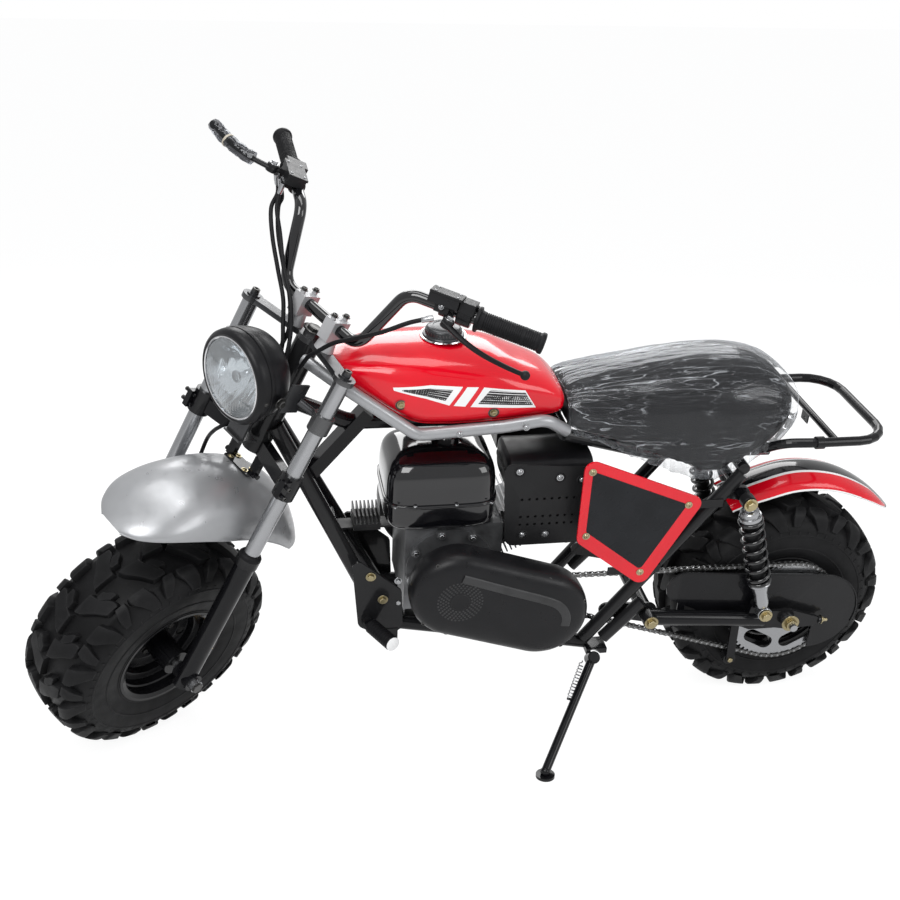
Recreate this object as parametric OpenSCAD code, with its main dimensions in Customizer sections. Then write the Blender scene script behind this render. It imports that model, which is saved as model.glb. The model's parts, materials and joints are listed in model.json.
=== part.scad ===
/* [Stance] */
// Distance between the two wheel axles
wheelbase = 1338; // [1300:1:1380]
// Lean to the left on the side stand, in degrees
lean = 9.2; // [8:0.1:11]
// Tilt of the steering axis from upright, in degrees
rake = 25.7; // [24:0.1:28]
// Turn of the steering at its left stop, in degrees
steer_stop = 38; // [30:1:40]
// Distance of the front axle ahead of the steering axis
fork_offset = 35; // [30:1:40]

/* [Wheels] */
// Radius of a tyre over its lugs
tyre_r = 241; // [236:1:246]
// Width of a tyre
tyre_w = 178; // [170:1:184]
// Radius across the crown of the tread
crown_r = 300; // [260:10:340]
// Radius of the tread's shoulder
shoulder_r = 25; // [20:1:30]
// Depth of the tread's lugs
lug_depth = 14; // [8:1:16]
// Radius of the rim's flange
rim_r = 116; // [110:1:120]
// Width between the outer faces of a rim's flanges
rim_w = 156; // [146:1:160]
// Radius of an axle
axle_r = 8; // [6:0.5:9]
// Radius of a wheel's hub
hub_r = 27; // [22:1:32]
// Radius of a brake disc
disc_r = 92; // [80:1:96]
// Thickness of a brake disc
disc_t = 4; // [3:0.5:5]

/* [Fork] */
// Distance of a fork tube from the middle of the fork
fork_y = 135; // [130:1:142]
// Radius of a fork tube
fork_r = 15.5; // [13:0.5:17]
// Radius of a fork's lower leg
leg_r = 20; // [18:0.5:22]
// Height of a lower leg's top above the axle, along the fork
leg_top = 300; // [270:5:330]
// Height of the lower clamp above the axle, along the fork
clamp_low = 474; // [460:1:490]
// Height of the top clamp above the axle, along the fork
clamp_top = 709; // [700:1:730]
// Thickness of the lower fork clamp
clamp_t = 30; // [24:1:34]
// Thickness of the top clamp's plate
plate_t = 10; // [8:1:12]
// Radius of the steering stem
stem_r = 14; // [12:0.5:16]

/* [Handlebar] */
// Radius of the handlebar
bar_r = 11.1; // [10:0.1:12.7]
// Radius of the bore in the handlebar's ends
bar_bore_r = 8.7; // [7:0.1:9]
// Depth of the bore in the handlebar's ends
bar_bore_len = 30; // [20:1:60]
// Height of the handlebar in its clamps above the axle, along the fork
bar_t = 762; // [755:1:770]
// Distance of a grip's end from the middle of the handlebar
grip_end_y = 365; // [350:1:380]
// Length of a grip
grip_len = 122; // [110:1:130]
// Radius of a grip
grip_r = 16.5; // [15:0.5:18]

/* [Frame] */
// Radius of the frame's main tubes
frame_r = 16; // [14:0.5:18]
// Radius of the head tube
head_r = 25; // [22:0.5:28]
// Radius of the silver rails beside the fuel tank
rail_r = 12; // [10:0.5:14]
// Distance of a down tube's foot from the middle
down_y = 74; // [66:1:80]
// Radius of the rear frame's tubes
stay_r = 14; // [12:0.5:15]
// Distance of the silver rails from the middle
rail_y = 108; // [100:1:116]
// Radius of the side stand's leg
stand_r = 9; // [8:0.5:11]
// Distance of the rear frame's tubes from the middle
stay_y = 124; // [122:1:130]
// Radius of the rails under the seat
seat_rail_r = 13; // [11:0.5:14]

/* [Bodywork] */
// Half the width of the fuel tank
tank_half = 106; // [98:1:112]
// Height of the fuel tank's top above the ground line
tank_top = 862; // [850:1:875]
// Half the width of the seat
seat_half = 118; // [108:1:128]
// Height of the seat's top above the ground line
seat_top = 813; // [800:1:825]
// Radius of the rear fender over the tyre
rear_fender_r = 308; // [300:1:316]
// Half the width of the rear fender
rear_fender_half = 58; // [52:1:66]
// Radius of the front fender's arc
front_fender_r = 280; // [272:1:290]
// Half the width of the front fender
front_fender_half = 106; // [98:1:110]
// Radius of the headlight's shell
lamp_r = 88; // [80:1:92]

/* [Drive] */
// Number of teeth on the rear sprocket
sprocket_teeth = 60; // [50:1:64]
// Number of teeth on the front sprocket
pinion_teeth = 15; // [12:1:17]
// Distance of the drive chain from the middle
chain_y = 102; // [101:0.5:102.5]
// Pitch of the drive chain
chain_pitch = 12.7; // [12.7]
// Radius of the swingarm's tubes
swing_r = 16.5; // [14:0.5:18]
// Distance of the swingarm's tubes from the middle
swing_y = 132; // [128:1:138]

/* [Hidden] */
$fn = 32;

// Gap between bodies that slide or turn past each other
run_gap = 0.3;
// Where the ground lies under the leaning machine, and how far its nose rises
crown_mid = tyre_r - crown_r;
shoulder_turn = asin((tyre_w / 2 - 27) / crown_r);
shoulder_at = [crown_mid + (crown_r - shoulder_r) * cos(shoulder_turn),
    (crown_r - shoulder_r) * sin(shoulder_turn)];
fork_up = [-sin(rake), 0, cos(rake)];
fork_ahead = [cos(rake), 0, sin(rake)];
steer_foot = [wheelbase / 2, 0, tyre_r] - fork_offset * fork_ahead;
front_axle_at = steer_foot + fork_offset * (cos(steer_stop) * fork_ahead + sin(steer_stop) * [0, 1, 0]);
front_axle_dir = cos(steer_stop) * [0, 1, 0] - sin(steer_stop) * fork_ahead;
front_dip = sin(lean) * front_axle_dir[1] - cos(lean) * front_axle_dir[2];
rear_rise = crown_mid * cos(lean) + crown_r;
front_rise = shoulder_at[0] * sqrt(1 - front_dip * front_dip) + shoulder_at[1] * front_dip + shoulder_r;
nose_up = asin((front_rise - rear_rise + front_axle_at[1] * sin(lean)
    + (tyre_r - front_axle_at[2]) * cos(lean)) / ((front_axle_at[0] + wheelbase / 2) * cos(lean)));
lift = rear_rise - (tyre_r * cos(nose_up) - wheelbase / 2 * sin(nose_up)) * cos(lean);
// The middle of the whole machine's outline on the ground
middle = [-12, 110.4];

// Turns a place on the ground into the machine's own upright frame
function from_ground(p) = let (q = p - [0, 0, lift],
    r = [q[0], q[1] * cos(lean) - q[2] * sin(lean), q[1] * sin(lean) + q[2] * cos(lean)])
    [r[0] * cos(nose_up) + r[2] * sin(nose_up), r[1], -r[0] * sin(nose_up) + r[2] * cos(nose_up)];
function unit(v) = v / norm(v);
function on_axis(t) = steer_foot + t * fork_up;
function mirrored(points) = [for (p = points) [p[0], -p[1], p[2]]];

// Places that several pieces share, as [x ahead, y left, z up] in the upright frame
rear_axle_at = [-wheelbase / 2, 0, tyre_r];
pivot_at = [-356, 0, 270];
pinion_at = [-104, 0, 338];
crank_at = [64, 0, 404];
shock_top = [-514, 0, 560];
shock_low = [-596, 0, 284];
pinion_r = chain_pitch / 2 / sin(180 / pinion_teeth);
sprocket_r = chain_pitch / 2 / sin(180 / sprocket_teeth);
idler_at = [-564, 0, 127.8];
idler_r = 14;
shock_y = 158;
shock_pin = 9;
stay_top = [-507, stay_y, 605];
stay_low = [-221, stay_y, 222];
seat_rail_y = 78;
seat_rails = [[-150, seat_rail_y, 684], [-330, seat_rail_y, 634], [-575, seat_rail_y, 632]];
down_foot = [190, down_y, 262];
stand_pivot = [-240, 148, 186];
stand_foot_ground = [-106, 336, 0];
stand_foot = from_ground(stand_foot_ground + [0, 0, 12]);
stand_leg_dir = unit(stand_foot - stand_pivot);
stand_fold_dir = unit([-0.985, 0.12, 0.12]);
// The stand's pin leans so that the leg folds back and up beside the swingarm
stand_axis = cos(20) * unit(cross(stand_leg_dir, stand_fold_dir)) + sin(20) * unit(stand_leg_dir + stand_fold_dir);
stand_pin = 7;
stand_eye = 13;
peg_at = [226, 0, 280];
peg_plate_y = down_y + frame_r + run_gap;
head_low = clamp_low + clamp_t / 2 + run_gap;
head_top = clamp_top - plate_t / 2 - run_gap;
lamp_at = [40, 0, 642];
lamp_tilt = 18;
tail_tab = [-684, 0, 656];
tail_tab_t = 3;
tail_hole_r = 3.3;
bar_points = [[-28, 0, bar_t], [-28, 106, bar_t], [-27, 148, 900], [-139, grip_end_y, 945]];

// Everything that stays with the frame
module machine() {
    translate([-middle[0], -middle[1], lift])
        rotate([-lean, 0, 0])
            rotate([0, -nose_up, 0])
                children();
}

// The fork's own frame: x ahead, y left, z up along the fork, from the front axle
module forked() {
    machine()
        translate(steer_foot)
            rotate([0, -rake, 0])
                rotate([0, 0, steer_stop])
                    translate([fork_offset, 0, 0])
                        children();
}

module front_wheel_frame() {
    forked() children();
}

module rear_wheel_frame() {
    machine() translate(rear_axle_at) children();
}

module both_sides() {
    children();
    mirror([0, 1, 0]) children();
}

// Straight round bar between two points
module rod(a, b, r) {
    v = b - a;
    translate(a)
        rotate([0, acos(v[2] / norm(v)), atan2(v[1], v[0])])
            cylinder(r = r, h = norm(v));
}

// Round bar across the machine through p, from y0 to y1 beside the middle
module crossbar(p, y0, y1, r) {
    translate([p[0], y0, p[2]]) rotate([-90, 0, 0]) cylinder(r = r, h = y1 - y0);
}

function turn_at(p, i) = acos(max(-1, min(1, unit(p[i] - p[i - 1]) * unit(p[i + 1] - p[i]))));
function cut_at(p, i, bend) = (i == 0 || i == len(p) - 1) ? 0 : bend * tan(turn_at(p, i) / 2);

// Steps in which a bent bar turns each corner
bend_steps = 5;
function arc_at(p, i, bend) =
    let (u = unit(p[i] - p[i - 1]), v = unit(p[i + 1] - p[i]), s = unit(v - u * (u * v)), a = turn_at(p, i))
    [for (k = [0 : bend_steps]) let (t = a * k / bend_steps)
        p[i] - u * cut_at(p, i, bend) + bend * (s - cos(t) * s + sin(t) * u)];

// Bent round bar through the points, with every corner bent to one radius
module tube(p, r, bend, flat) {
    path = concat([p[0]], [for (i = [1 : len(p) - 2]) each arc_at(p, i, bend)], [p[len(p) - 1]]);
    cord(path, r, 16, flat);
}

// Plate across the machine's side: a profile in x and z, from y to y + t
module side_plate(y, t) {
    translate([0, y + t, 0]) rotate([90, 0, 0]) linear_extrude(t) children();
}

// Flat shape with round corners of radius r
module round_rect(size, r) {
    square([size[0], size[1] - 2 * r], center = true);
    square([size[0] - 2 * r, size[1]], center = true);
    for (x = [-1, 1], y = [-1, 1])
        translate([x * (size[0] / 2 - r), y * (size[1] / 2 - r)]) circle(r = r);
}

// One point of a rounded section: columns x, half width, low z, widest z, top z
// The powers, above and below the widest line, are 2 for an ellipse and more for a squarer section
function shell_point(s, a, powers) =
    let (c = cos(a), n = sin(a), power = n > 0 ? powers[0] : powers[1])
    [s[0], s[1] * sign(c) * pow(abs(c), 2 / power),
        s[3] + (n > 0 ? s[4] - s[3] : s[3] - s[2]) * sign(n) * pow(abs(n), 2 / power)];
// Catmull-Rom blend of the table's rows
function row_at(t, table) =
    let (n = len(table) - 1, i = min(floor(t), n - 1), f = t - i,
        a = table[max(i - 1, 0)], b = table[i], c = table[i + 1], d = table[min(i + 2, n)])
    b + f * (c - a) / 2 + f * f * (2 * a - 5 * b + 4 * c - d) / 2 + f * f * f * (3 * b - 3 * c + d - a) / 2;

// Smooth path through a few points, with steps between them
function rounded(points, steps) = [for (k = [0 : (len(points) - 1) * steps]) row_at(k / steps, points)];

// Closed body through the sections of a table, with rings between its rows
module body_of(table, rings, sides, powers) {
    count = (len(table) - 1) * rings;
    points = [for (k = [0 : count], j = [0 : sides - 1])
        shell_point(row_at(k / rings, table), 360 * (j + 0.5) / sides, powers)];
    skin = [for (k = [0 : count - 1], j = [0 : sides - 1])
        [k * sides + j, k * sides + (j + 1) % sides, (k + 1) * sides + (j + 1) % sides, (k + 1) * sides + j]];
    polyhedron(points, concat(skin, [[for (j = [0 : sides - 1]) sides - 1 - j]],
        [[for (j = [0 : sides - 1]) count * sides + j]]));
}

// Radius of the bends at the rack's rear corners
rack_bend = 66;

// Round bar or cord along its points, whose rings are turned about the flat direction
module cord(p, r, sides, flat) {
    n = len(p);
    function dir(i) = unit(p[min(i + 1, n - 1)] - p[max(i - 1, 0)]);
    function side(i) = unit(cross(dir(i), flat));
    points = [for (i = [0 : n - 1], j = [0 : sides - 1])
        p[i] + r * (cos(360 * j / sides) * side(i) + sin(360 * j / sides) * cross(dir(i), side(i)))];
    skin = [for (i = [0 : n - 2], j = [0 : sides - 1])
        [i * sides + j, (i + 1) * sides + j, (i + 1) * sides + (j + 1) % sides, i * sides + (j + 1) % sides]];
    polyhedron(points, concat(skin, [[for (j = [0 : sides - 1]) j]],
        [[for (j = [0 : sides - 1]) (n - 1) * sides + sides - 1 - j]]));
}

module head_tube() {
    color("#1b1b1d") machine() difference() {
        rod(on_axis(head_low), on_axis(head_top), head_r);
        rod(on_axis(head_low - 5), on_axis(head_top + 5), stem_r + run_gap);
    }
}

// Outer body of the head tube, to cut what is welded to it
module head_space() {
    rod(on_axis(head_low - 30), on_axis(head_top + 40), head_r);
}

module down_tube_pair(grow = 0) {
    both_sides() rod(on_axis(head_low + 40) + [-10, 20, -8], down_foot, frame_r + grow);
}

module down_tubes() {
    color("#1b1b1d") machine() difference() {
        union() {
            down_tube_pair();
            crossbar([292, 0, 472], -50, 50, 9);
        }
        head_space();
    }
}

module backbone() {
    brace_top = [222, 0, 712];
    brace_low = [330, 0, 585];
    color("#1b1b1d") machine() difference() {
        union() {
            tube([on_axis(head_low + 90), [258, 0, 688], [-150, 0, 688]], frame_r, 70, [0, 1, 0]);
            for (q = [[0, 715.7], [150, 721]])
                translate([q[0], 0, q[1] - 14]) cube([24, 40, 28], center = true);
            // Box brace between the backbone and the down tubes
            translate(brace_top) rotate([0, 180 - atan2(brace_low[0] - brace_top[0], brace_top[2] - brace_low[2]), 0])
                translate([-13, -20, 0]) cube([26, 40, norm(brace_low - brace_top)]);
        }
        head_space();
        rear_frame_solid(0.3);
        down_tube_pair(run_gap);
    }
}

module side_rails() {
    start = on_axis(head_top - 30);
    color("#a9abae") machine() difference() {
        both_sides()
            tube([start + [-2, 14, 0], [276, rail_y - 14, 808], [142, rail_y, 712], [-20, rail_y, 722],
                [-104, rail_y - 6, 730], [-158, seat_rail_y + 6, 692]], rail_r, 45, [0, 0, 1]);
        head_space();
        // Seat rails and their front crossbar, which the rails' ends meet
        both_sides() rod(seat_rails[0] + [18, 0, 5], seat_rails[1], seat_rail_r + 2 * run_gap);
        crossbar(seat_rails[0], -seat_rail_y, seat_rail_y, seat_rail_r + 2 * run_gap);
    }
}

// Rear frame: seat rails, stays down to the swingarm, and the ears of its pivot
module rear_frame_solid(grow = 0) {
    both_sides() {
        tube(seat_rails, seat_rail_r + grow, 40, [0, 1, 0]);
        rod(stay_top, stay_low, stay_r + grow);
        side_plate(chain_y + 8.5 - grow, 4.7 + 2 * grow) difference() {
            hull() {
                translate([pivot_at[0], pivot_at[2]]) circle(r = 24);
                translate([-268, 284]) circle(r = 16);
            }
            translate([pivot_at[0], pivot_at[2]]) circle(r = 16 + run_gap);
        }
    }
    crossbar(seat_rails[0], -seat_rail_y, seat_rail_y, seat_rail_r + grow);
    crossbar([stay_top[0] - 3, 0, stay_top[2] + 9], -stay_y, stay_y, 12 + grow);
    // Ears for the shocks' upper bolts
    both_sides() side_plate(stay_y - 6, 12) hull() {
        translate([shock_top[0], shock_top[2]]) circle(r = shock_pin + 6);
        translate([-478, 566]) circle(r = 13);
    }
    crossbar(shock_top, -shock_y - 14, shock_y + 14, shock_pin);
    rod(shock_top, shock_top + (rear_axle_at - shock_top) * 0.125, 12);
}

module rear_frame() {
    color("#1b1b1d") machine() difference() {
        rear_frame_solid();
        rear_fender_space();
    }
}

module engine_cradle() {
    color("#1b1b1d") machine() {
        difference() {
            union() {
                both_sides() {
                    rod(down_foot + [-8, 0, 0], [-230, stay_y - 6, 208], frame_r - 2);
                    // Plate that joins the down tube, the cradle and the foot peg
                    side_plate(peg_plate_y, 5) hull() {
                        translate([246, 412]) circle(r = 12);
                        translate([170, 345]) circle(r = 12);
                        translate([172, 268]) circle(r = 18);
                        translate([peg_at[0], peg_at[2]]) circle(r = 20);
                    }
                    translate([178, down_y + 6, 246]) cube([28, 34, 24], center = true);
                }
                crossbar([60, 0, 236], -88, 88, 10);
                crossbar([-60, 0, 224], -94, 94, 10);
                translate([55, 0, 250]) cube([190, 150, 10], center = true);
                translate([60, 0, 240]) cube([40, 120, 20], center = true);
                translate([-50, 0, 234]) cube([20, 120, 30], center = true);
                // Lug over the side stand
                translate([-246, stand_pivot[1] - 18, 205]) cube([44, 40, 12], center = true);
            }
            down_tube_pair(run_gap);
            rear_frame_solid(run_gap);
            rod(stand_pivot - stand_axis * 14, stand_pivot + stand_axis * 20, stand_eye + 3);
        }
        // Pin and plate that carry the side stand
        rod(stand_pivot - stand_axis * 15, stand_pivot + stand_axis * 16, stand_pin);
        rod(stand_pivot + stand_axis * (12 + run_gap), stand_pivot + stand_axis * 17, stand_pin + 4);
        rod(stand_pivot - stand_axis * 18, stand_pivot - stand_axis * (12 + run_gap), stand_eye);
        rod(stand_pivot - stand_axis * 17.5, [-234, stay_y - 17, 204], 5);
    }
}

module foot_pegs() {
    peg_end = [peg_at[0] - 40, 178, peg_at[2] + 4];
    color("#2a2a2c") machine() {
        both_sides() {
            crossbar([peg_at[0], 0, peg_at[2]], peg_plate_y + 5 + run_gap, peg_plate_y + 18, 12);
            rod([peg_at[0], peg_plate_y + 10, peg_at[2]], peg_end, 9);
            rod(peg_end + (([peg_at[0], peg_plate_y + 10, peg_at[2]] - peg_end) * 0.82), peg_end, 14.5);
            // Passenger's peg, folded up behind the stay
            rod([-262, stay_y + 6, 225], [-336, stay_y + 6, 311], 13.5);
        }
    }
}

module rectifier() {
    color("#202022") machine() difference() {
        union() {
            translate([232, 0, 455]) cube([122, 36, 4], center = true);
            translate([222, 0, 463]) cube([54, 60, 14], center = true);
            for (k = [-3 : 3]) translate([222 + 8 * k, 0, 477]) cube([3, 60, 26], center = true);
        }
        crossbar([292, 0, 472], -50, 50, 9 + run_gap);
    }
}

// Fuel tank's sections: x, half width, low z, widest z, top z
module fuel_tank() {
    table = [[300, 12, 812, 824, 834], [278, 58, 796, 824, tank_top - 22], [216, 88, 764, 808, tank_top - 4],
        [150, tank_half - 2, 724, 792, tank_top], [90, tank_half, 716, 785, tank_top],
        [0, tank_half - 4, 716, 783, tank_top - 13], [-60, tank_half - 10, 719, 778, tank_top - 38],
        [-112, tank_half - 20, 722, 768, tank_top - 62], [-138, tank_half - 28, 728, 758, tank_top - 84],
        [-147, tank_half - 44, 738, 752, tank_top - 98]];
    color("#d3152a") machine() body_of(table, 3, 28, [2.5, 4.2]);
}

module tank_cap() {
    color("#b8babd") machine() translate([82, 0, tank_top + 1.3]) {
        cylinder(r = 38, h = 5);
        translate([0, 0, 4]) cylinder(r = 33, h = 12);
        translate([0, 0, 15]) cylinder(r1 = 33, r2 = 26, h = 5);
    }
}

// Seat's sections: x, half width, low z, widest z, top z
module seat() {
    table = [[-153, 84, 690, 722, seat_top - 54], [-172, 92, 680, 716, seat_top - 42],
        [-220, 99, 664, 708, seat_top - 31], [-290, 107, 628, 700, seat_top - 19],
        [-370, 114, 594, 694, seat_top - 7], [-450, seat_half, 568, 690, seat_top],
        [-515, seat_half - 3, 596, 690, seat_top - 3], [-570, 106, 640, 700, seat_top - 18],
        [-606, 88, 676, 712, seat_top - 42], [-620, 62, 696, 722, seat_top - 62]];
    color("#26272a") machine() difference() {
        body_of(table, 3, 28, [2.7, 4.2]);
        // Room under the seat for the frame's rails and the rack's feet
        side_plate(-seat_rail_y - 17, 2 * seat_rail_y + 34)
            polygon([[-140, 702], [-150, 699], [-330, 649], [-575, 647.4], [-700, 680], [-700, 520], [-140, 520]]);
        both_sides() rod(stay_top, stay_low, stay_r + run_gap);
        crossbar([stay_top[0], 0, stay_top[2]], -stay_y - 20, stay_y + 20, stay_r + 9);
        both_sides() rod([-552, 86, 634], [-584, 122, 668], 10.8);
        both_sides() rod([-584, 122, 668], [-640, 140, 676], 10.8);
        both_sides() rod([-104, rail_y - 6, 730], [-160, seat_rail_y + 6, 691], rail_r + 1);
    }
}

module rack() {
    color("#1b1b1d") machine() difference() {
        union() {
            tube([[-552, 86, 634], [-584, 122, 668], [-640, 140, 676], [-798, 140, 676], [-798, -140, 676],
                [-640, -140, 676], [-584, -122, 668], [-552, -86, 634]], 9.5, rack_bend, [0, 0, 1]);
            crossbar([tail_tab[0], 0, 677], -136, 136, 7);
            // Tab with a bolt hole for a tail lamp
            translate([tail_tab[0], 0, tail_tab[2] + 6]) cube([tail_tab_t, 28, 26], center = true);
            // Collars where the loop plugs into its stubs
            both_sides() rod([-640, 140, 676], [-656, 140, 676], 12.5);
        }
        rear_frame_solid(0.5);
        translate(tail_tab) rotate([0, 90, 0]) cylinder(r = tail_hole_r, h = 20, center = true);
    }
}

// Arched sheet along an arc: columns angle, crown radius, half width, depth of the sides
module fender(table, rings, sides, t) {
    count = (len(table) - 1) * rings;
    function spot(s, a, inset) = let (r = s[1] - inset - (s[3] - inset) * (1 - cos(a)))
        [r * cos(s[0]), (s[2] - inset) * sin(a), r * sin(s[0])];
    wide = sides + 1;
    points = [for (inset = [0, t], k = [0 : count], j = [0 : sides])
        spot(row_at(k / rings, table), 180 * j / sides - 90, inset)];
    half = (count + 1) * wide;
    outer = [for (k = [0 : count - 1], j = [0 : sides - 1])
        [k * wide + j, k * wide + j + 1, (k + 1) * wide + j + 1, (k + 1) * wide + j]];
    inner = [for (q = outer) [q[3] + half, q[2] + half, q[1] + half, q[0] + half]];
    rim_low = [for (k = [0 : count - 1]) [k * wide, (k + 1) * wide, (k + 1) * wide + half, k * wide + half]];
    rim_high = [for (k = [0 : count - 1]) let (e = k * wide + sides)
        [e, e + half, e + wide + half, e + wide]];
    start = [for (j = [0 : sides - 1]) [j, j + half, j + 1 + half, j + 1]];
    end = [for (j = [0 : sides - 1]) let (e = count * wide + j) [e, e + 1, e + 1 + half, e + half]];
    polyhedron(points, concat(outer, inner, rim_low, rim_high, start, end));
}

// Rear fender: angle, crown radius, half width, depth of the sides
module rear_fender() {
    r = rear_fender_r;
    h = rear_fender_half;
    table = [[60, r - 22, h - 4, 24], [76, r - 16, h, 30], [90, r - 5, h, 32], [106, r, h, 28],
        [122, r + 2, h - 4, 22], [134, r + 4, h - 20, 14], [141.5, r + 6, 16, 7]];
    color("#d3152a") rear_wheel_frame() fender(table, 3, 16, 3);
}

// Space over the rear fender's crown, to cut what is bolted to it
module rear_fender_space() {
    translate(rear_axle_at) rotate([90, 0, 0]) cylinder(r = rear_fender_r - 14, h = 60, center = true, $fn = 96);
}

module number_plate() {
    corners = [[-196, 638], [-402, 552], [-318, 392], [-196, 488]];
    color("#1d1d1f") machine() {
        side_plate(stay_y + stay_r + 4, 5) hull() for (c = corners) translate(c) circle(r = 20);
        // Straps to the stay
        for (z = [548, 400]) {
            x = stay_top[0] + (stay_top[2] - z) * (stay_low[0] - stay_top[0]) / (stay_top[2] - stay_low[2]);
            side_plate(stay_y + stay_r + run_gap, 3.7) translate([x - 6, z - 9]) square([110, 18]);
        }
    }
}

module engine() {
    color("#a7a8aa") machine() {
        translate([57, 4.5, 400]) cube([194, 175, 196], center = true);
        translate([60, 2, 279]) cube([170, 104, 47.4], center = true);
        crossbar(crank_at, 94, 149.7, 46);
        // Side cover's rim with its bolt bosses
        crossbar(crank_at, 90, 100, 88);
        for (a = [15 : 45 : 330]) translate(crank_at) rotate([0, a, 0])
            crossbar([82, 0, 0], 84, 106, 9);
        // Cylinder with its cooling fins, head and rocker cover
        translate(crank_at) rotate([0, 25, 0]) {
            for (s = [96 : 9.5 : 182]) translate([-s, 0, 0]) cube([3, 132, 94], center = true);
            translate([-135, 0, 0]) cube([110, 92, 74], center = true);
            translate([-204, 0, 0]) cube([34, 104, 86], center = true);
            translate([-228, 0, 0]) cube([16, 84, 66], center = true);
        }
        // Exhaust and intake elbows
        rod([-128, 34, 480], [-128, 34, 561.7], 15);
        rod([-126, -30, 490], [-124, -73, 560], 15);
    }
}

module engine_tank() {
    mid = [85, 15];
    half = [109, 94];
    // Rows: height, and how far the outline there lies outside the tank's own
    table = [for (q = [[649, -64], [645, -38], [636, -18], [620, -6], [596, -1], [558, 0], [556, 3], [551, 3],
        [549, 0], [512, 0], [501, -2], [498, -7]])
        [q[0], half[1] + q[1], -mid[0] - half[0] - q[1], -mid[0], -mid[0] + half[0] + q[1]]];
    color("#0f0f11") machine() {
        translate([0, mid[1], 0]) rotate([0, -90, 0]) body_of(table, 1, 32, [5, 5]);
        translate([70, 10, 640]) cylinder(r = 28, h = 22);
    }
}

module recoil_starter() {
    color("#151517") machine() {
        crossbar([crank_at[0], 0, 430], -176, -85.3, 118);
        crossbar([crank_at[0], 0, 430], -186, -170, 106);
        crossbar([crank_at[0], 0, 430], -196, -180, 62);
        translate([crank_at[0] + 84, -150, 500]) cube([44, 30, 34], center = true);
    }
}

module air_cleaner() {
    color("#19191b") machine() {
        translate([-120, -112, 612]) cube([130, 72, 82], center = true);
        translate([-120, -112, 612]) cube([122, 62, 90], center = true);
        translate([-120, -145, 612]) cube([112, 20, 66], center = true);
        // Strap to the seat rail
        translate([-172, -100, 640]) cube([30, 24, 8], center = true);
    }
}

module muffler() {
    table = [[-42, 48, 572, 600, 628], [-45, 56, 566, 600, 634], [-52, 61, 562, 600, 638],
        [-204, 61, 562, 600, 638], [-211, 56, 566, 600, 634], [-214, 48, 572, 600, 628]];
    color("#202022") machine() {
        translate([0, 33, 0]) body_of(table, 1, 28, [4, 4]);
        // Seam flange round the box
        translate([-128, 33, 600]) cube([180, 128, 3], center = true);
    }
}

module muffler_guard() {
    color("#141416") machine() difference() {
        side_plate(97.8, 3) hull() {
            translate([-48, 618]) circle(r = 16);
            translate([-200, 606]) circle(r = 16);
            translate([-188, 468]) circle(r = 20);
            translate([-62, 468]) circle(r = 20);
        }
        // Rows of vent holes
        for (z = [0 : 2], x = [0 : 7])
            crossbar([-176 + 15 * x, 0, 496 + 18 * z + (z == 2 ? 22 : 0)], 90, 110, 3);
    }
}

// Point of the drive cover's outline at turn a and distance r round its two centres
function cover_point(a, r, y) =
    let (front = [crank_at[0], crank_at[2]], rear = [pinion_at[0] - 2, pinion_at[2] + 8],
        q = (cos(a) * (front[0] - rear[0]) + sin(a) * (front[1] - rear[1]) >= 0) ? front : rear)
    [q[0] + r * cos(a), y, q[1] + r * sin(a)];
module drive_cover() {
    // Rows: distance from the middle, radius round the centres
    rows = [[150, 86], [151, 91], [156, 93], [186, 94], [197, 91], [205, 84], [209, 75], [210, 63], [214, 61],
        [215.5, 56], [216, 30]];
    n = 44;
    function turn(j) = 360 * (j + 0.5) / n + 22.7;
    points = [for (q = rows, j = [0 : n - 1]) cover_point(turn(j), q[1], q[0])];
    skin = [for (k = [0 : len(rows) - 2], j = [0 : n - 1])
        [k * n + j, k * n + (j + 1) % n, (k + 1) * n + (j + 1) % n, (k + 1) * n + j]];
    color("#1f2022") machine() {
        polyhedron(points, concat(skin, [[for (j = [0 : n - 1]) n - 1 - j]],
            [[for (j = [0 : n - 1]) (len(rows) - 1) * n + j]]));
        crossbar(crank_at, 214, 219, 24);
    }
}

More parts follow.
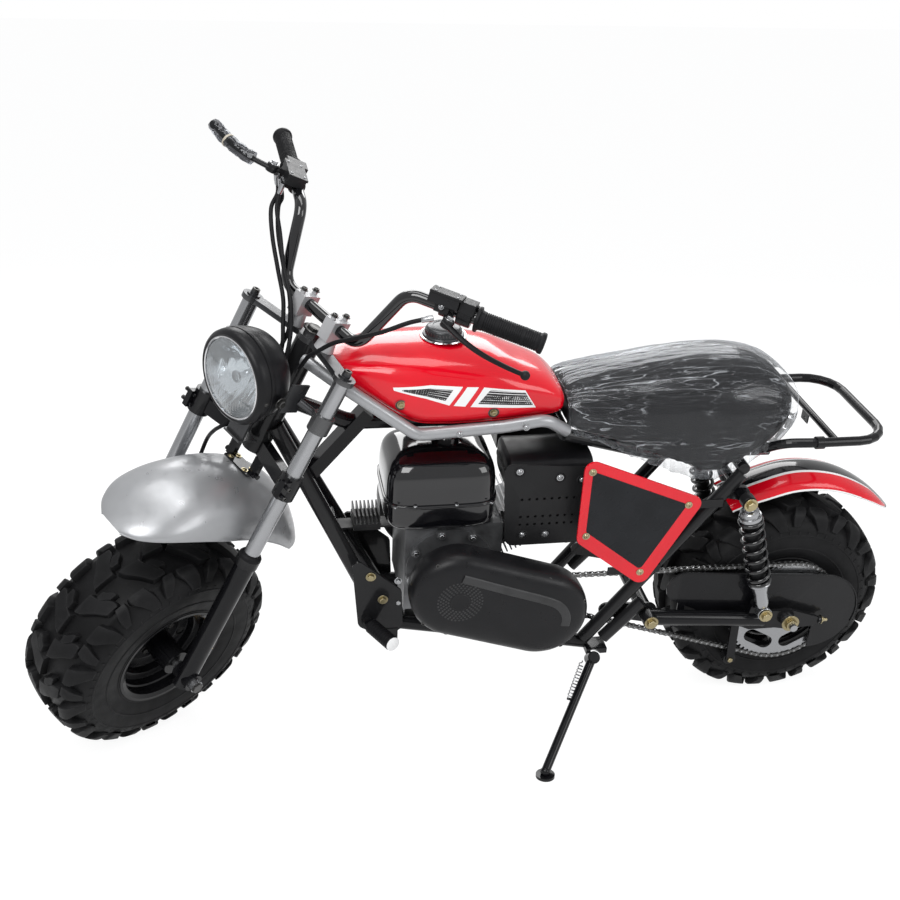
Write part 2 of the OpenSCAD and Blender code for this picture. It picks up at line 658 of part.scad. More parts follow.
module drive_chain() {
    gap = rear_axle_at - pinion_at;
    slope = asin((sprocket_r - pinion_r) / norm(gap));
    aim = atan2(gap[2], gap[0]);
    run = norm(gap) * cos(slope);
    // Place on the chain's loop at distance s, and the way outwards there
    half_big = (180 + 2 * slope) * PI / 180 * sprocket_r;
    half_small = (180 - 2 * slope) * PI / 180 * pinion_r;
    links = 2 * round((2 * run + half_big + half_small) / chain_pitch / 4);
    loop = 2 * run + half_big + half_small;
    p2 = [pinion_at[0], pinion_at[2]];
    s2 = [rear_axle_at[0], rear_axle_at[2]];
    function way(a) = [cos(a), sin(a)];
    function on_loop(s, out) =
        s < run ? let (n = way(aim - 90 - slope)) p2 + (pinion_r + out) * n + s * way(aim - slope)
        : s < run + half_big ? let (a = aim - 90 - slope + (s - run) / sprocket_r * 180 / PI)
            s2 + (sprocket_r + out) * way(a)
        : s < 2 * run + half_big ? let (n = way(aim + 90 + slope), t = run - (s - run - half_big))
            p2 + (pinion_r + out) * n + t * way(aim + slope)
        : let (a = aim + 90 + slope + (s - 2 * run - half_big) / pinion_r * 180 / PI)
            p2 + (pinion_r + out) * way(a);
    step = loop / links;
    outer = [for (k = [0 : links - 1]) each [on_loop(k * step, 5.4), on_loop((k + 0.8) * step, 3.6)]];
    inner = [for (k = [0 : links - 1]) on_loop(k * step, -4.4)];
    color("#3a3a3c") machine() {
        crossbar(pinion_at, chain_y - 3, chain_y + 3, pinion_r - 4.2);
        crossbar(pinion_at, chain_y + 2, 149.7, 9);
        difference() {
            side_plate(chain_y - 5.5, 11) difference() {
                polygon(outer);
                polygon(inner);
            }
            // Room between the links' plates for the sprocket's teeth
            crossbar(rear_axle_at, chain_y - 2.4, chain_y + 2.4, sprocket_r + 1.6);
        }
    }
}

module swingarm() {
    tube_end = [-612, swing_y, 246];
    color("#1b1b1d") machine() difference() {
        union() {
            both_sides() {
                rod([pivot_at[0], swing_y, pivot_at[2]], tube_end, swing_r);
                // Axle plate with its chain adjuster
                side_plate(swing_y - 4, 8) hull() {
                    translate([tube_end[0] + 12, tube_end[2] + 3]) circle(r = 18);
                    translate([rear_axle_at[0], rear_axle_at[2]]) circle(r = 24);
                    translate([-730, 232]) circle(r = 12);
                }
                rod([-722, swing_y, 234], [-752, swing_y, 232], 4);
                rod([-740, swing_y, 232.8], [-747, swing_y, 232.3], 8);
                crossbar(shock_low, swing_y - 2, shock_y + 14, shock_pin);
                side_plate(swing_y - 7, 12) hull() {
                    translate([shock_low[0], shock_low[2]]) circle(r = shock_pin + 7);
                    translate([tube_end[0] + 22, tube_end[2] + 4]) circle(r = 16.5);
                }
            }
            // Tensioner arm and its roller under the chain
            side_plate(chain_y + 13, 4) hull() {
                translate([-560, 243]) circle(r = 9);
                translate([idler_at[0], idler_at[2]]) circle(r = 9);
            }
            crossbar(idler_at, chain_y - 6, chain_y + 14, idler_r);
            crossbar(pivot_at, -swing_y - 19, swing_y + 19, 16);
        }
        crossbar(rear_axle_at, -200, 200, axle_r + 0.1);
    }
}

module chain_guard() {
    color("#19191b") machine() {
        side_plate(chain_y + 9, 3) difference() {
            hull() {
                translate([-738, 241]) circle(r = 96, $fn = 64);
                translate([-432, 326]) circle(r = 38);
            }
            translate([rear_axle_at[0], rear_axle_at[2]]) circle(r = 13);
            translate([-740, 100]) square([400, 104]);
        }
        // Ears that bolt the guard to the swingarm's tube
        side_plate(chain_y + 9, 3) translate([-440, 258]) square([16, 46]);
        for (q = [[-536, 253], [-432, 264]])
            crossbar([q[0], 0, q[1]], chain_y + 11, swing_y - swing_r - 0.2, 6);
    }
}

module rear_axle() {
    color("#c0c2c4") machine() {
        crossbar(rear_axle_at, -168, 168, axle_r);
        both_sides() {
            crossbar(rear_axle_at, swing_y + 4.3, swing_y + 16, 14);
            crossbar(rear_axle_at, 106, swing_y - 4.3, 12);
        }
    }
}

module shocks() {
    u = unit(shock_low - shock_top);
    color("#2a2a2c") machine() both_sides() difference() {
        union() {
            translate([0, shock_y, 0]) {
                rod(shock_top + u * 12, shock_low - u * 12, 7);
                rod(shock_top + u * 20, shock_top + u * 34, 19);
                rod(shock_top + u * 34, shock_top + u * 42, 23);
                rod(shock_low - u * 84, shock_low - u * 78, 23);
                rod(shock_low - u * 78, shock_low - u * 60, 18);
                rod(shock_low - u * 62, shock_low - u * 16, 15);
            }
            crossbar(shock_top, shock_y - 11, shock_y + 11, shock_pin + 6);
            crossbar(shock_low, shock_y - 11, shock_y + 11, shock_pin + 6);
        }
        crossbar(shock_top, shock_y - 20, shock_y + 20, shock_pin + 0.1);
        crossbar(shock_low, shock_y - 20, shock_y + 20, shock_pin + 0.1);
    }
}

// Springs as slanted coils round a sleeve
module shock_springs() {
    u = unit(shock_low - shock_top);
    length = norm(shock_low - shock_top) - 84.3 - 42.3;
    wire = 4.4;
    turns = 7;
    pitch = (length - 2 * wire - 14) / (turns - 1);
    color("#1b1b1d") machine() both_sides() translate([0, shock_y, 0]) {
        difference() {
            rod(shock_top + u * 42.3, shock_low - u * 84.3, 19.5);
            rod(shock_top + u * 30, shock_low - u * 70, 15.5);
        }
        translate(shock_top + u * 42.3) rotate([0, acos(u[2]), atan2(u[1], u[0])])
            for (k = [0 : turns - 1]) translate([0, 0, wire + 7 + k * pitch])
                rotate([atan2(pitch / 2, 42), 0, 0])
                    rotate_extrude($fn = 24) translate([22, 0]) circle(r = wire, $fn = 16);
    }
}

module rear_caliper() {
    color("#2a2a2c") machine() difference() {
        translate([-600, -109, 300]) cube([56, 30, 66], center = true);
        crossbar(rear_axle_at, -110, -102, disc_r + 6);
        both_sides() rod([pivot_at[0], swing_y, pivot_at[2]], [-610, swing_y, 246], 15 + run_gap);
        both_sides() side_plate(swing_y - 4 - run_gap, 9) translate([-800, 200]) square([230, 74]);
    }
}

// Pitches of the tread's lugs round a tyre, and the part of a pitch that a lug's flat top takes
lug_pitches = 14;
lug_share = 0.4;
lug_slope = 0.5 - lug_share;
// Turn of the tread's section where the steered front tyre meets the ground
front_turn = asin(front_dip);
function crown_point(a, low) = [crown_mid + (crown_r - low) * cos(a), (crown_r - low) * sin(a)];
function shoulder_point(a, low) = shoulder_at + (shoulder_r - low) * [cos(a), sin(a)];
// Rows of a tyre's left half: place on the lugs, place in the grooves, slant of the lugs in degrees,
// and which lugs: 1 middle, 2 shoulder, 0 a plain row
tread_rows = concat(
    [for (q = [[0.6, 0, 1], [lean, 7, 1], [lean + 1.5, 7.2, 1], [shoulder_turn, 7.2, 2]])
        [crown_point(q[0], 0), crown_point(q[0], lug_depth), q[1], q[2]]],
    [for (q = [[front_turn, 8.5, 2], [68, 10.5, 2]])
        [shoulder_point(q[0], 0), shoulder_point(q[0], lug_depth), q[1], q[2]]],
    [for (q = [[190, tyre_w / 2 - 0.5], [152, tyre_w / 2 - 2.5], [rim_r - 3.7, rim_w / 2 - 1.2],
        [rim_r - 9.7, rim_w / 2 - 2.2]]) [q, q, 0, 0]]);
// Turns in a pitch of lugs, and in a pitch of a plain row
lug_turns = [0, lug_slope, lug_slope + lug_share, 0.5 + lug_slope];
function tyre_spot(row, side, k) =
    let (i = k % 4, pitch = 360 / lug_pitches,
        middle_lug = row[3] == 1,
        up = row[3] == 0 ? true : ((i == 1 || i == 2) == ((side > 0) == middle_lug)),
        p = up ? row[0] : row[1],
        r = row[3] == 0 ? p[0] : p[0] / cos(pitch * lug_share / 2),
        a = (floor(k / 4) + (row[3] == 0 ? i / 4 + 0.05 : lug_turns[i])) * pitch + row[2])
    [r * cos(a), side * p[1], r * sin(a)];

// A tyre turned so that a lug of the given side and row lies at the turn down from its axle
module tyre(down, side, row) {
    n = 4 * lug_pitches;
    count = len(tread_rows);
    hollow = [[205, tyre_w / 2 - 19], [205, 19 - tyre_w / 2]];
    own = (side > 0) == (tread_rows[row][3] == 1);
    flat = (lug_slope + lug_share / 2 + (own ? 0 : 0.5)) * 360 / lug_pitches + tread_rows[row][2];
    points = concat(
        [for (i = [0 : count - 1], k = [0 : n - 1]) tyre_spot(tread_rows[count - 1 - i], -1, k)],
        [for (i = [0 : count - 1], k = [0 : n - 1]) tyre_spot(tread_rows[i], 1, k)],
        [for (q = hollow, k = [0 : n - 1]) let (a = (k + 0.2) * 360 / n) [q[0] * cos(a), q[1], q[0] * sin(a)]]);
    rows = 2 * count + 2;
    skin = [for (i = [0 : rows - 1], k = [0 : n - 1]) let (j = (i + 1) % rows, m = (k + 1) % n)
        each [[i * n + k, j * n + k, i * n + m], [i * n + m, j * n + k, j * n + m]]];
    rotate([0, flat - down, 0]) polyhedron(points, skin);
}

// Deep stepped wheel: columns of the rings are radius and distance from the middle
module rim() {
    rings = [[104, 58], [99, 54], [96, 40], [84, 36], [80, 22], [60, 17], [40, 14], [hub_r, 14]];
    rotate([-90, 0, 0]) difference() {
        rotate_extrude($fn = 96) {
            polygon([[rim_r - 10, -rim_w / 2 + 2], [rim_r - 4, -rim_w / 2 + 1], [rim_r, -rim_w / 2 - 4],
                [rim_r - 6, -rim_w / 2 - 4], [rim_r - 14, -rim_w / 2], [rim_r - 14, rim_w / 2],
                [rim_r - 6, rim_w / 2 + 4], [rim_r, rim_w / 2 + 4], [rim_r - 4, rim_w / 2 - 1],
                [rim_r - 10, rim_w / 2 - 2]]);
            // Stepped dish from the barrel in to the hub
            polygon(concat([for (q = rings) q], [[axle_r + 0.1, 14], [axle_r + 0.1, -14]],
                [for (i = [len(rings) - 1 : -1 : 0]) [rings[i][0], rings[i][1] - 5 - (i > 5 ? 20 : 0)]]));
            translate([axle_r + 0.1, -103.7]) square([hub_r - axle_r, 203]);
        }
        for (a = [0 : 60 : 300]) rotate([0, 0, a]) translate([70, 0, 0]) cylinder(r = 9, h = 60);
    }
}

module rear_tyre() {
    color("#1c1c1d") rear_wheel_frame() tyre(-90 - nose_up, 1, 1);
}
module rear_rim() { color("#19191a") rear_wheel_frame() rim(); }
module rear_sprocket() {
    tooth = 360 / sprocket_teeth;
    teeth = [for (k = [0 : sprocket_teeth - 1], q = [[0, -5.2], [0.34, -5.2], [0.5, 0.6], [0.84, 0.6]])
        let (a = (k + q[0]) * tooth) (sprocket_r + q[1]) * [cos(a), sin(a)]];
    color("#b9bbbd") rear_wheel_frame() translate([0, chain_y + 2, 0]) rotate([90, 0, 0])
        linear_extrude(4) difference() {
            polygon(teeth);
            circle(r = 13);
            // Windows between the spokes
            for (a = [0 : 60 : 300]) rotate(a) hull() {
                rotate(-14) translate([86, 0]) circle(r = 16);
                rotate(14) translate([86, 0]) circle(r = 16);
            }
        }
}
module rear_disc() { color("#9a9c9e") rear_wheel_frame() disc(); }
module disc() {
    difference() {
        crossbar([0, 0, 0], -104 - disc_t, -104, disc_r);
        crossbar([0, 0, 0], -200, 0, 13);
        for (a = [0 : 30 : 330]) rotate([0, a, 0]) translate([72, -120, 0]) rotate([-90, 0, 0]) cylinder(r = 6, h = 30);
    }
}

module side_stand() {
    color("#1b1b1d") machine() difference() {
        union() {
            rod(stand_pivot, stand_foot, stand_r);
            rod(stand_pivot - stand_axis * 12, stand_pivot + stand_axis * 12, stand_eye);
            translate(stand_foot) sphere(r = stand_r + 1);
            translate(from_ground(stand_foot_ground + [0, 0, 0.1]))
                rotate([lean, 0, 0]) cylinder(r = 19, h = 6);
        }
        rod(stand_pivot - stand_axis * 20, stand_pivot + stand_axis * 20, stand_pin + run_gap);
    }
}

// Flat arms of a fork clamp, from the stem out to both tubes
module clamp_arms(half, eye) {
    for (s = [-1, 1]) {
        hull() {
            translate([0, s * fork_y]) circle(r = half);
            translate([-fork_offset, s * 14]) circle(r = half);
        }
        translate([0, s * fork_y]) circle(r = eye);
    }
    translate([-fork_offset, 0]) circle(r = 24);
}

module top_clamp() {
    color("#3a3b3d") forked() {
        translate([0, 0, clamp_top - plate_t / 2]) linear_extrude(plate_t) clamp_arms(15, fork_r + 5);
        // Socket bolts over the fork tubes, and the stem's nut
        both_sides() translate([0, fork_y, clamp_top + plate_t / 2]) {
            cylinder(r = 13, h = 3);
            cylinder(r = 8, h = 9);
        }
        translate([-fork_offset, 0, clamp_top + plate_t / 2]) cylinder(r = 16, h = 12, $fn = 6);
    }
}
module lower_clamp() {
    color("#2a2a2c") forked() {
        difference() {
            union() {
                translate([0, 0, clamp_low - clamp_t / 2]) linear_extrude(clamp_t) clamp_arms(11, fork_r + 3);
                both_sides() {
                    translate([0, fork_y, clamp_low - 24]) cylinder(r = fork_r + 6, h = 48);
                    // Pinch ears beside the collars and their bolts
                    translate([8, fork_y + 4, clamp_low - 18]) cube([24, 12, 36]);
                    for (t = [-10, 10]) crossbar([25, 0, clamp_low + t], fork_y - 2, fork_y + 24, 4);
                }
            }
            both_sides() translate([0, fork_y, clamp_low - 30]) cylinder(r = fork_r + 0.1, h = 80);
        }
        translate([-fork_offset, 0, clamp_low]) cylinder(r = stem_r, h = clamp_top - plate_t / 2 - clamp_low);
    }
}
module fork_tubes() {
    color("#b4b6b8") forked() both_sides() translate([0, fork_y, leg_top])
        cylinder(r = fork_r, h = clamp_top - plate_t / 2 - leg_top);
}
module fork_legs() {
    color("#1b1b1d") forked() both_sides() difference() {
        union() {
            translate([0, fork_y, -22]) cylinder(r = leg_r, h = leg_top + 22);
            translate([0, fork_y, leg_top - 14]) cylinder(r = leg_r + 3, h = 18);
            // Lug that holds the axle
            crossbar([0, 0, 0], fork_y - leg_r - 2, fork_y + leg_r + 4, 19);
        }
        crossbar([0, 0, 0], -200, 200, axle_r + 0.1);
        translate([0, fork_y, leg_top]) cylinder(r = fork_r, h = 60);
    }
}
module front_axle() {
    color("#c0c2c4") forked() {
        crossbar([0, 0, 0], -168, 168, axle_r);
        both_sides() {
            crossbar([0, 0, 0], 105, fork_y - leg_r - 2.3, 12);
            crossbar([0, 0, 0], fork_y + leg_r + 4.3, fork_y + leg_r + 15, 13);
        }
    }
}
module front_caliper() {
    color("#2a2a2c") forked() difference() {
        translate([-50, -112, 62]) cube([62, 30, 66], center = true);
        crossbar([0, 0, 0], -110, -102, disc_r + 6);
        translate([0, -fork_y, -22]) cylinder(r = leg_r + run_gap, h = leg_top + 22);
    }
}
module handlebar() {
    e = bar_points[3];
    u = unit(bar_points[2] - e);
    color("#1b1b1d") forked() both_sides() difference() {
        tube(bar_points, bar_r, 38, [1, 0, 0]);
        rod(e - u * 5, e + u * bar_bore_len, bar_bore_r);
    }
}
module bar_clamps() {
    riser = [-28, 44];
    color("#a9abae") forked() both_sides() difference() {
        union() {
            translate([riser[0], riser[1], clamp_top + plate_t / 2]) cylinder(r1 = 19, r2 = 15, h = 24);
            translate([riser[0] - 21, riser[1] - 13, clamp_top + plate_t / 2 + 22])
                cube([42, 26, bar_t + 15 - clamp_top - plate_t / 2 - 22]);
            for (x = [-16, 16]) translate([riser[0] + x, riser[1], bar_t]) cylinder(r = 5, h = 22);
        }
        crossbar([riser[0], 0, bar_t], -80, 80, bar_r + 0.1);
    }
}
module grips() {
    e = bar_points[3];
    u = unit(bar_points[2] - e);
    color("#1c1c1d") forked() both_sides() difference() {
        rod(e - u * 3, e + u * grip_len, grip_r);
        rod(e - u * 5, e + u * (grip_len + 5), bar_r + 0.3);
    }
}
// Lever perch, switch box and blade: the left blade hangs below its grip, the right one is turned up
module lever_set(root, tip) {
    e = bar_points[3];
    u = unit(bar_points[2] - e);
    perch = e + u * (grip_len + 50);
    difference() {
        union() {
            rod(e + u * (grip_len + 6), e + u * (grip_len + 32), 21);
            rod(e + u * (grip_len + 38), e + u * (grip_len + 64), 17);
            translate(e + u * (grip_len + 20) + [2, 0, 14]) cube([44, 26, 20], center = true);
            // Reservoir box over the perch
            translate(perch + [18, -2, 16]) rotate([12, 0, 0]) cube([40, 58, 24], center = true);
            rod(perch, root, 9);
            rod(root + unit(tip - root) * -10, tip, 6.5);
            rod(root, root + (tip - root) * 0.3, 8);
            translate(tip) sphere(r = 9);
            translate(root) cylinder(r = 11, h = 16, center = true);
        }
        rod(e, e + u * (grip_len + 90), bar_r + 0.1);
        rod(e, e + u * (grip_len + 5), grip_r + 6 + run_gap);
    }
}
module levers() {
    color("#1b1b1d") forked() {
        lever_set([-40, 240, 898], [-118, 378, 888]);
        mirror([0, 1, 0]) lever_set([-12, 238, 925], [28, 376, 932]);
    }
}
module headlight_shell() {
    color("#141416") forked() translate(lamp_at) rotate([0, 90 + lamp_tilt, 0]) {
        rotate_extrude($fn = 64) polygon([[0, -20], [34, -18], [58, -8], [76, 10], [84, 30], [lamp_r - 1, 48],
            [lamp_r, 52], [lamp_r, 56], [lamp_r - 2, 57], [lamp_r, 58], [lamp_r, 70], [lamp_r - 4, 78],
            [lamp_r - 10, 81], [lamp_r - 13, 78], [lamp_r - 13, 68], [0, 68]]);
        // Side bolts' bosses
        both_sides() crossbar([0, 0, 40], lamp_r - 10, lamp_r + 6, 11);
    }
}
module headlight_lens() {
    color("#d5dde2") forked() translate(lamp_at) rotate([0, 90 + lamp_tilt, 0])
        rotate_extrude($fn = 64) polygon([[0, 68.3], [lamp_r - 13.3, 68.3], [lamp_r - 13.3, 79], [lamp_r - 22, 83],
            [lamp_r - 38, 87], [lamp_r - 56, 89], [0, 90]]);
}
module lamp_bracket() {
    color("#4a4c50") forked() difference() {
        union() {
            translate([20, 0, clamp_low + clamp_t / 2 + 2.3]) cube([48, 46, 4], center = true);
            translate([34, 0, 532]) cube([6, 44, 84], center = true);
            // Side plates from the shell's bolts back to the fork's ears
            both_sides() {
                translate([lamp_at[0] - 18, lamp_r + 1, lamp_at[2] - 34]) cube([44, 4, 58]);
                rod([lamp_at[0] - 10, lamp_r + 3, lamp_at[2] - 10], [-4, fork_y - 12, lamp_at[2] - 24], 7);
                translate([0, fork_y, lamp_at[2] - 44]) cylinder(r = fork_r + 5, h = 34);
            }
        }
        both_sides() translate([0, fork_y, lamp_at[2] - 60]) cylinder(r = fork_r + 0.1, h = 70);
        translate(lamp_at) rotate([0, 90 + lamp_tilt, 0]) translate([0, 0, -30]) cylinder(r = lamp_r + 0.6, h = 120);
        translate(lamp_at) rotate([0, 90 + lamp_tilt, 0]) both_sides() crossbar([0, 0, 40], 0, lamp_r + 7, 11.3);
    }
}
// Front fender: angle, crown radius, half width, depth of the sides
module front_fender() {
    r = front_fender_r;
    h = front_fender_half;
    table = [[36, r + 1, 30, 6], [40, r + 1, 62, 16], [48, r, 88, 34], [60, r, h - 4, 62], [75, r, h, 88],
        [90, r, h, 98], [108, r - 1, h, 96], [124, r - 4, h - 3, 84], [138, r - 8, h - 9, 64],
        [146, r - 10, h - 16, 48]];
    color("#a9abae") forked() translate([10, 0, 140]) fender(table, 2, 20, 3);
}
module fender_struts() {
    crest = 140 + front_fender_r;
    color("#1b1b1d") forked() {
        both_sides() {
            translate([-30, 26, crest - 1.5]) cube([12, 18, clamp_low - clamp_t / 2 - crest + 1.2]);
            translate([-24, 38, crest + 4]) crossbar([0, 0, 0], -2, 12, 5);
        }
        translate([-40, -34, crest - 1.5]) cube([34, 68, 4]);
    }
}
// Cords along the places they really run: throttle and brake lines from the right end of the bar, and
// the left end's line round behind the fuel cap
module control_cables() {
    brake_hose = [[-30, -208, 889], [-26, -196, 868], [-16, -160, 832], [-6, -104, 792], [0, -56, 758],
        [2, -26, 716], [2, -22, 680], [0, -30, 600], [0, -44, 520], [0, -62, 470], [-14, -88, 436], [-36, -113, 396],
        [-45, -117, 340], [-47, -116, 240], [-50, -113, 150], [-50, -112, 96]];
    far_lines = [
        [[-24, -214, 890], [-14, -200, 862], [-4, -160, 826], [4, -106, 786], [10, -60, 752], [12, -32, 714],
            [12, -16, 690], [10, -8, 665]],
        [[-18, -206, 893], [-18, -190, 866], [-10, -150, 836], [2, -98, 796], [8, -48, 762], [8, -18, 722],
            [10, -2, 694], [12, 8, 668]]];
    near_line = [[-34, 214, 892], [-14, 190, 866], [2, 160, 826], [8, 120, 786], [8, 84, 752], [10, 64, 722],
        [10, 50, 700], [4, 40, 668]];
    color("#161617") forked() {
        cord(rounded(brake_hose, 3), 4, 8, [1, 0.1, 0]);
        for (q = far_lines) cord(rounded(q, 4), 4, 8, [1, 0.1, 0]);
        cord(rounded(near_line, 4), 4, 8, [1, 0.1, 0]);
    }
}
module front_tyre() {
    // Turn, in the front wheel's own plane, of the way down to the ground
    down_dir = from_ground([0, 0, -1]) - from_ground([0, 0, 0]);
    wheel_ahead = cos(steer_stop) * fork_ahead + sin(steer_stop) * [0, 1, 0];
    color("#1c1c1d") front_wheel_frame()
        tyre(atan2(down_dir * fork_up, down_dir * wheel_ahead), front_dip > 0 ? 1 : -1, 4);
}
module front_rim() { color("#19191a") front_wheel_frame() rim(); }
module front_disc() { color("#9a9c9e") front_wheel_frame() disc(); }

head_tube();
down_tubes();
backbone();
side_rails();
rear_frame();
engine_cradle();
foot_pegs();
rectifier();
fuel_tank();
tank_cap();
seat();
rack();
rear_fender();
number_plate();
engine();
engine_tank();
recoil_starter();
air_cleaner();
muffler();
muffler_guard();
drive_cover();
drive_chain();
swingarm();
chain_guard();
rear_axle();
shocks();
shock_springs();
rear_caliper();
rear_tyre();
rear_rim();
rear_sprocket();
rear_disc();
side_stand();
top_clamp();
lower_clamp();
fork_tubes();
fork_legs();
front_axle();
front_caliper();
handlebar();
bar_clamps();
grips();
levers();
headlight_shell();
headlight_lens();
lamp_bracket();
front_fender();
fender_struts();
control_cables();
front_tyre();
front_rim();
front_disc();
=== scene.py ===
import bmesh
import bpy
import json
from math import acos, asin, atan2, copysign, cos, degrees, floor, pi, radians, sin, tan
from mathutils import Matrix, Vector, noise

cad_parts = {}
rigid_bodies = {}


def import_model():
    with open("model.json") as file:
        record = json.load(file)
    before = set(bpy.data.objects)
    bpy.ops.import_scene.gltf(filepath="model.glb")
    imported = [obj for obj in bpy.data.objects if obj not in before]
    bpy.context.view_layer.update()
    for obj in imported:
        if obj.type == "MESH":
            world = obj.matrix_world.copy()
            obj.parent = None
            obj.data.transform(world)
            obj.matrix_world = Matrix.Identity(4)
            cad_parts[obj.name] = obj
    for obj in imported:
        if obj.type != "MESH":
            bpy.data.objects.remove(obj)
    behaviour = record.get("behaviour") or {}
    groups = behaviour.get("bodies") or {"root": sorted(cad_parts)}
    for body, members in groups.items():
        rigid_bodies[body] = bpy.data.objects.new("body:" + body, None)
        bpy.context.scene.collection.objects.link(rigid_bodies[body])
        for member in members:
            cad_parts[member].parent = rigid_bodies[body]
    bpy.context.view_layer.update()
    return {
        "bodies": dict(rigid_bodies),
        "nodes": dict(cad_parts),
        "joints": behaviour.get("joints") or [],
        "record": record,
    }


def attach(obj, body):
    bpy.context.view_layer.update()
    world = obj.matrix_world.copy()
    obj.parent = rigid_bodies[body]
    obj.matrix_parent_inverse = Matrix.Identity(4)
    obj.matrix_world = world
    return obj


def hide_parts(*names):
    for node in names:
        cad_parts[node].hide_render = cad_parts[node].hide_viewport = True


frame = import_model()
nodes = frame["nodes"]

# Places shared with the construction: millimetres and degrees in the upright machine's frame,
# with x ahead, y to the left and z up
MM = 0.001
WHEELBASE = 1338
LEAN = 9.2
RAKE = 25.7
STEER = 38.0
OFFSET = 35
TYRE_R = 241
TYRE_W = 178
NOSE_UP = 0.23854
LIFT = 6.6106
MIDDLE = (-12, 110.4)
TANK_TOP = 862
TANK_HALF = 106
SEAT_TOP = 813
SEAT_HALF = 118
REAR_AXLE = Vector((-WHEELBASE / 2, 0, TYRE_R))
SHOCK_TOP = Vector((-514, 0, 560))
SHOCK_LOW = Vector((-596, 0, 284))
SHOCK_Y = 158
CRANK = Vector((64, 0, 404))
PINION = Vector((-104, 0, 338))
LAMP = Vector((40, 0, 642))
LAMP_TILT = 18
CHAIN_Y = 102
CHAIN_PITCH = 12.7
FORK_Y = 135


def turn(angle, axis):
    return Matrix.Rotation(radians(angle), 4, axis)


# Where the bodies stand in the parked machine, on its floor
MACHINE = Matrix.Translation((-MIDDLE[0], -MIDDLE[1], LIFT)) @ turn(-LEAN, "X") @ turn(-NOSE_UP, "Y")
AHEAD = Vector((cos(radians(RAKE)), 0, sin(radians(RAKE))))
STEER_FOOT = Vector((WHEELBASE / 2, 0, TYRE_R)) - OFFSET * AHEAD
FORK = (MACHINE @ Matrix.Translation(STEER_FOOT) @ turn(-RAKE, "Y") @ turn(STEER, "Z")
        @ Matrix.Translation((OFFSET, 0, 0)))
REAR = MACHINE @ Matrix.Translation(REAR_AXLE)
HEADLIGHT = FORK @ Matrix.Translation(LAMP) @ turn(90 + LAMP_TILT, "Y")


# Materials
def fill(t, n, inputs):
    """Sets a node's inputs, or links those that are given as another node's output."""
    for key, value in inputs.items():
        if isinstance(value, bpy.types.NodeSocket):
            t.links.new(value, n.inputs[key])
        else:
            n.inputs[key].default_value = value


def node(t, kind, inputs, out=0, **settings):
    """A new shader node with its inputs filled in. Gives one of its outputs."""
    n = t.nodes.new("ShaderNode" + kind)
    for key, value in settings.items():
        setattr(n, key, value)
    fill(t, n, inputs)
    return n.outputs[out]


def noise_value(t, coord, scale, detail=3.0, stretch=None):
    if stretch:
        coord = node(t, "Mapping", {"Vector": coord, "Scale": stretch})
    return node(t, "TexNoise", {"Vector": coord, "Scale": scale, "Detail": detail}, "Fac")


def remap(t, value, low, high, to_low, to_high):
    return node(t, "MapRange", {"Value": value, "From Min": low, "From Max": high,
                                "To Min": to_low, "To Max": to_high}, "Result")


def mixed_colour(t, share, first, second):
    return node(t, "MixRGB", {"Fac": share, "Color1": first, "Color2": second + (1,)}, "Color")


def mixed_shader(t, share, first, second):
    return node(t, "MixShader", {0: share, 1: first, 2: second})


def new_material(name, empty=False):
    m = bpy.data.materials.new(name)
    m.use_nodes = True
    if empty:
        m.node_tree.nodes.clear()
    return m, m.node_tree


CLOUDS = 18.0   # scale of the cloudy changes of colour, for objects measured in metres
LOW_NOISE, HIGH_NOISE = 0.3, 0.7   # between these lies most of a noise texture


def node_material(name, colour, rough, metal=0.0, vary=0.12, rough_vary=0.08, bump=0.08, bump_scale=260.0,
                  coat=0.0, specular=0.5, wear=0.0, wear_colour=None, edge=0.0, edge_colour=None):
    """Paint, metal, rubber or plastic: cloudy colour, worn spots, rubbed edges, gloss changes and grain."""
    m, t = new_material(name)
    coord = node(t, "TexCoord", {}, "Object")
    ramp = t.nodes.new("ShaderNodeValToRGB")
    for element, place, tone in zip(ramp.color_ramp.elements, (0.3, 0.72), (1 - vary, 1 + vary)):
        element.position = place
        element.color = tuple(min(1, c * tone) for c in colour) + (1,)
    fill(t, ramp, {"Fac": noise_value(t, coord, CLOUDS)})
    shade = ramp.outputs["Color"]
    if wear:
        spots = remap(t, noise_value(t, coord, CLOUDS * 2.7, 6.0), 0.6, 0.75, 0, wear)
        shade = mixed_colour(t, spots, shade, wear_colour)
    if edge:
        rubbed = remap(t, node(t, "NewGeometry", {}, "Pointiness"), 0.52, 0.62, 0, edge)
        shade = mixed_colour(t, rubbed, shade, edge_colour)
    gloss = remap(t, noise_value(t, coord, CLOUDS * 2.2, 5.0), LOW_NOISE, HIGH_NOISE,
                  max(0.02, rough - rough_vary), min(1.0, rough + rough_vary))
    surface = {"Base Color": shade, "Metallic": metal, "Roughness": gloss, "Specular IOR Level": specular,
               "Coat Weight": coat, "Coat Roughness": 0.05}
    if bump:
        grain = noise_value(t, coord, bump_scale, 4.0)
        surface["Normal"] = node(t, "Bump", {"Strength": bump, "Distance": 0.001, "Height": grain})
    fill(t, t.nodes["Principled BSDF"], surface)
    return m


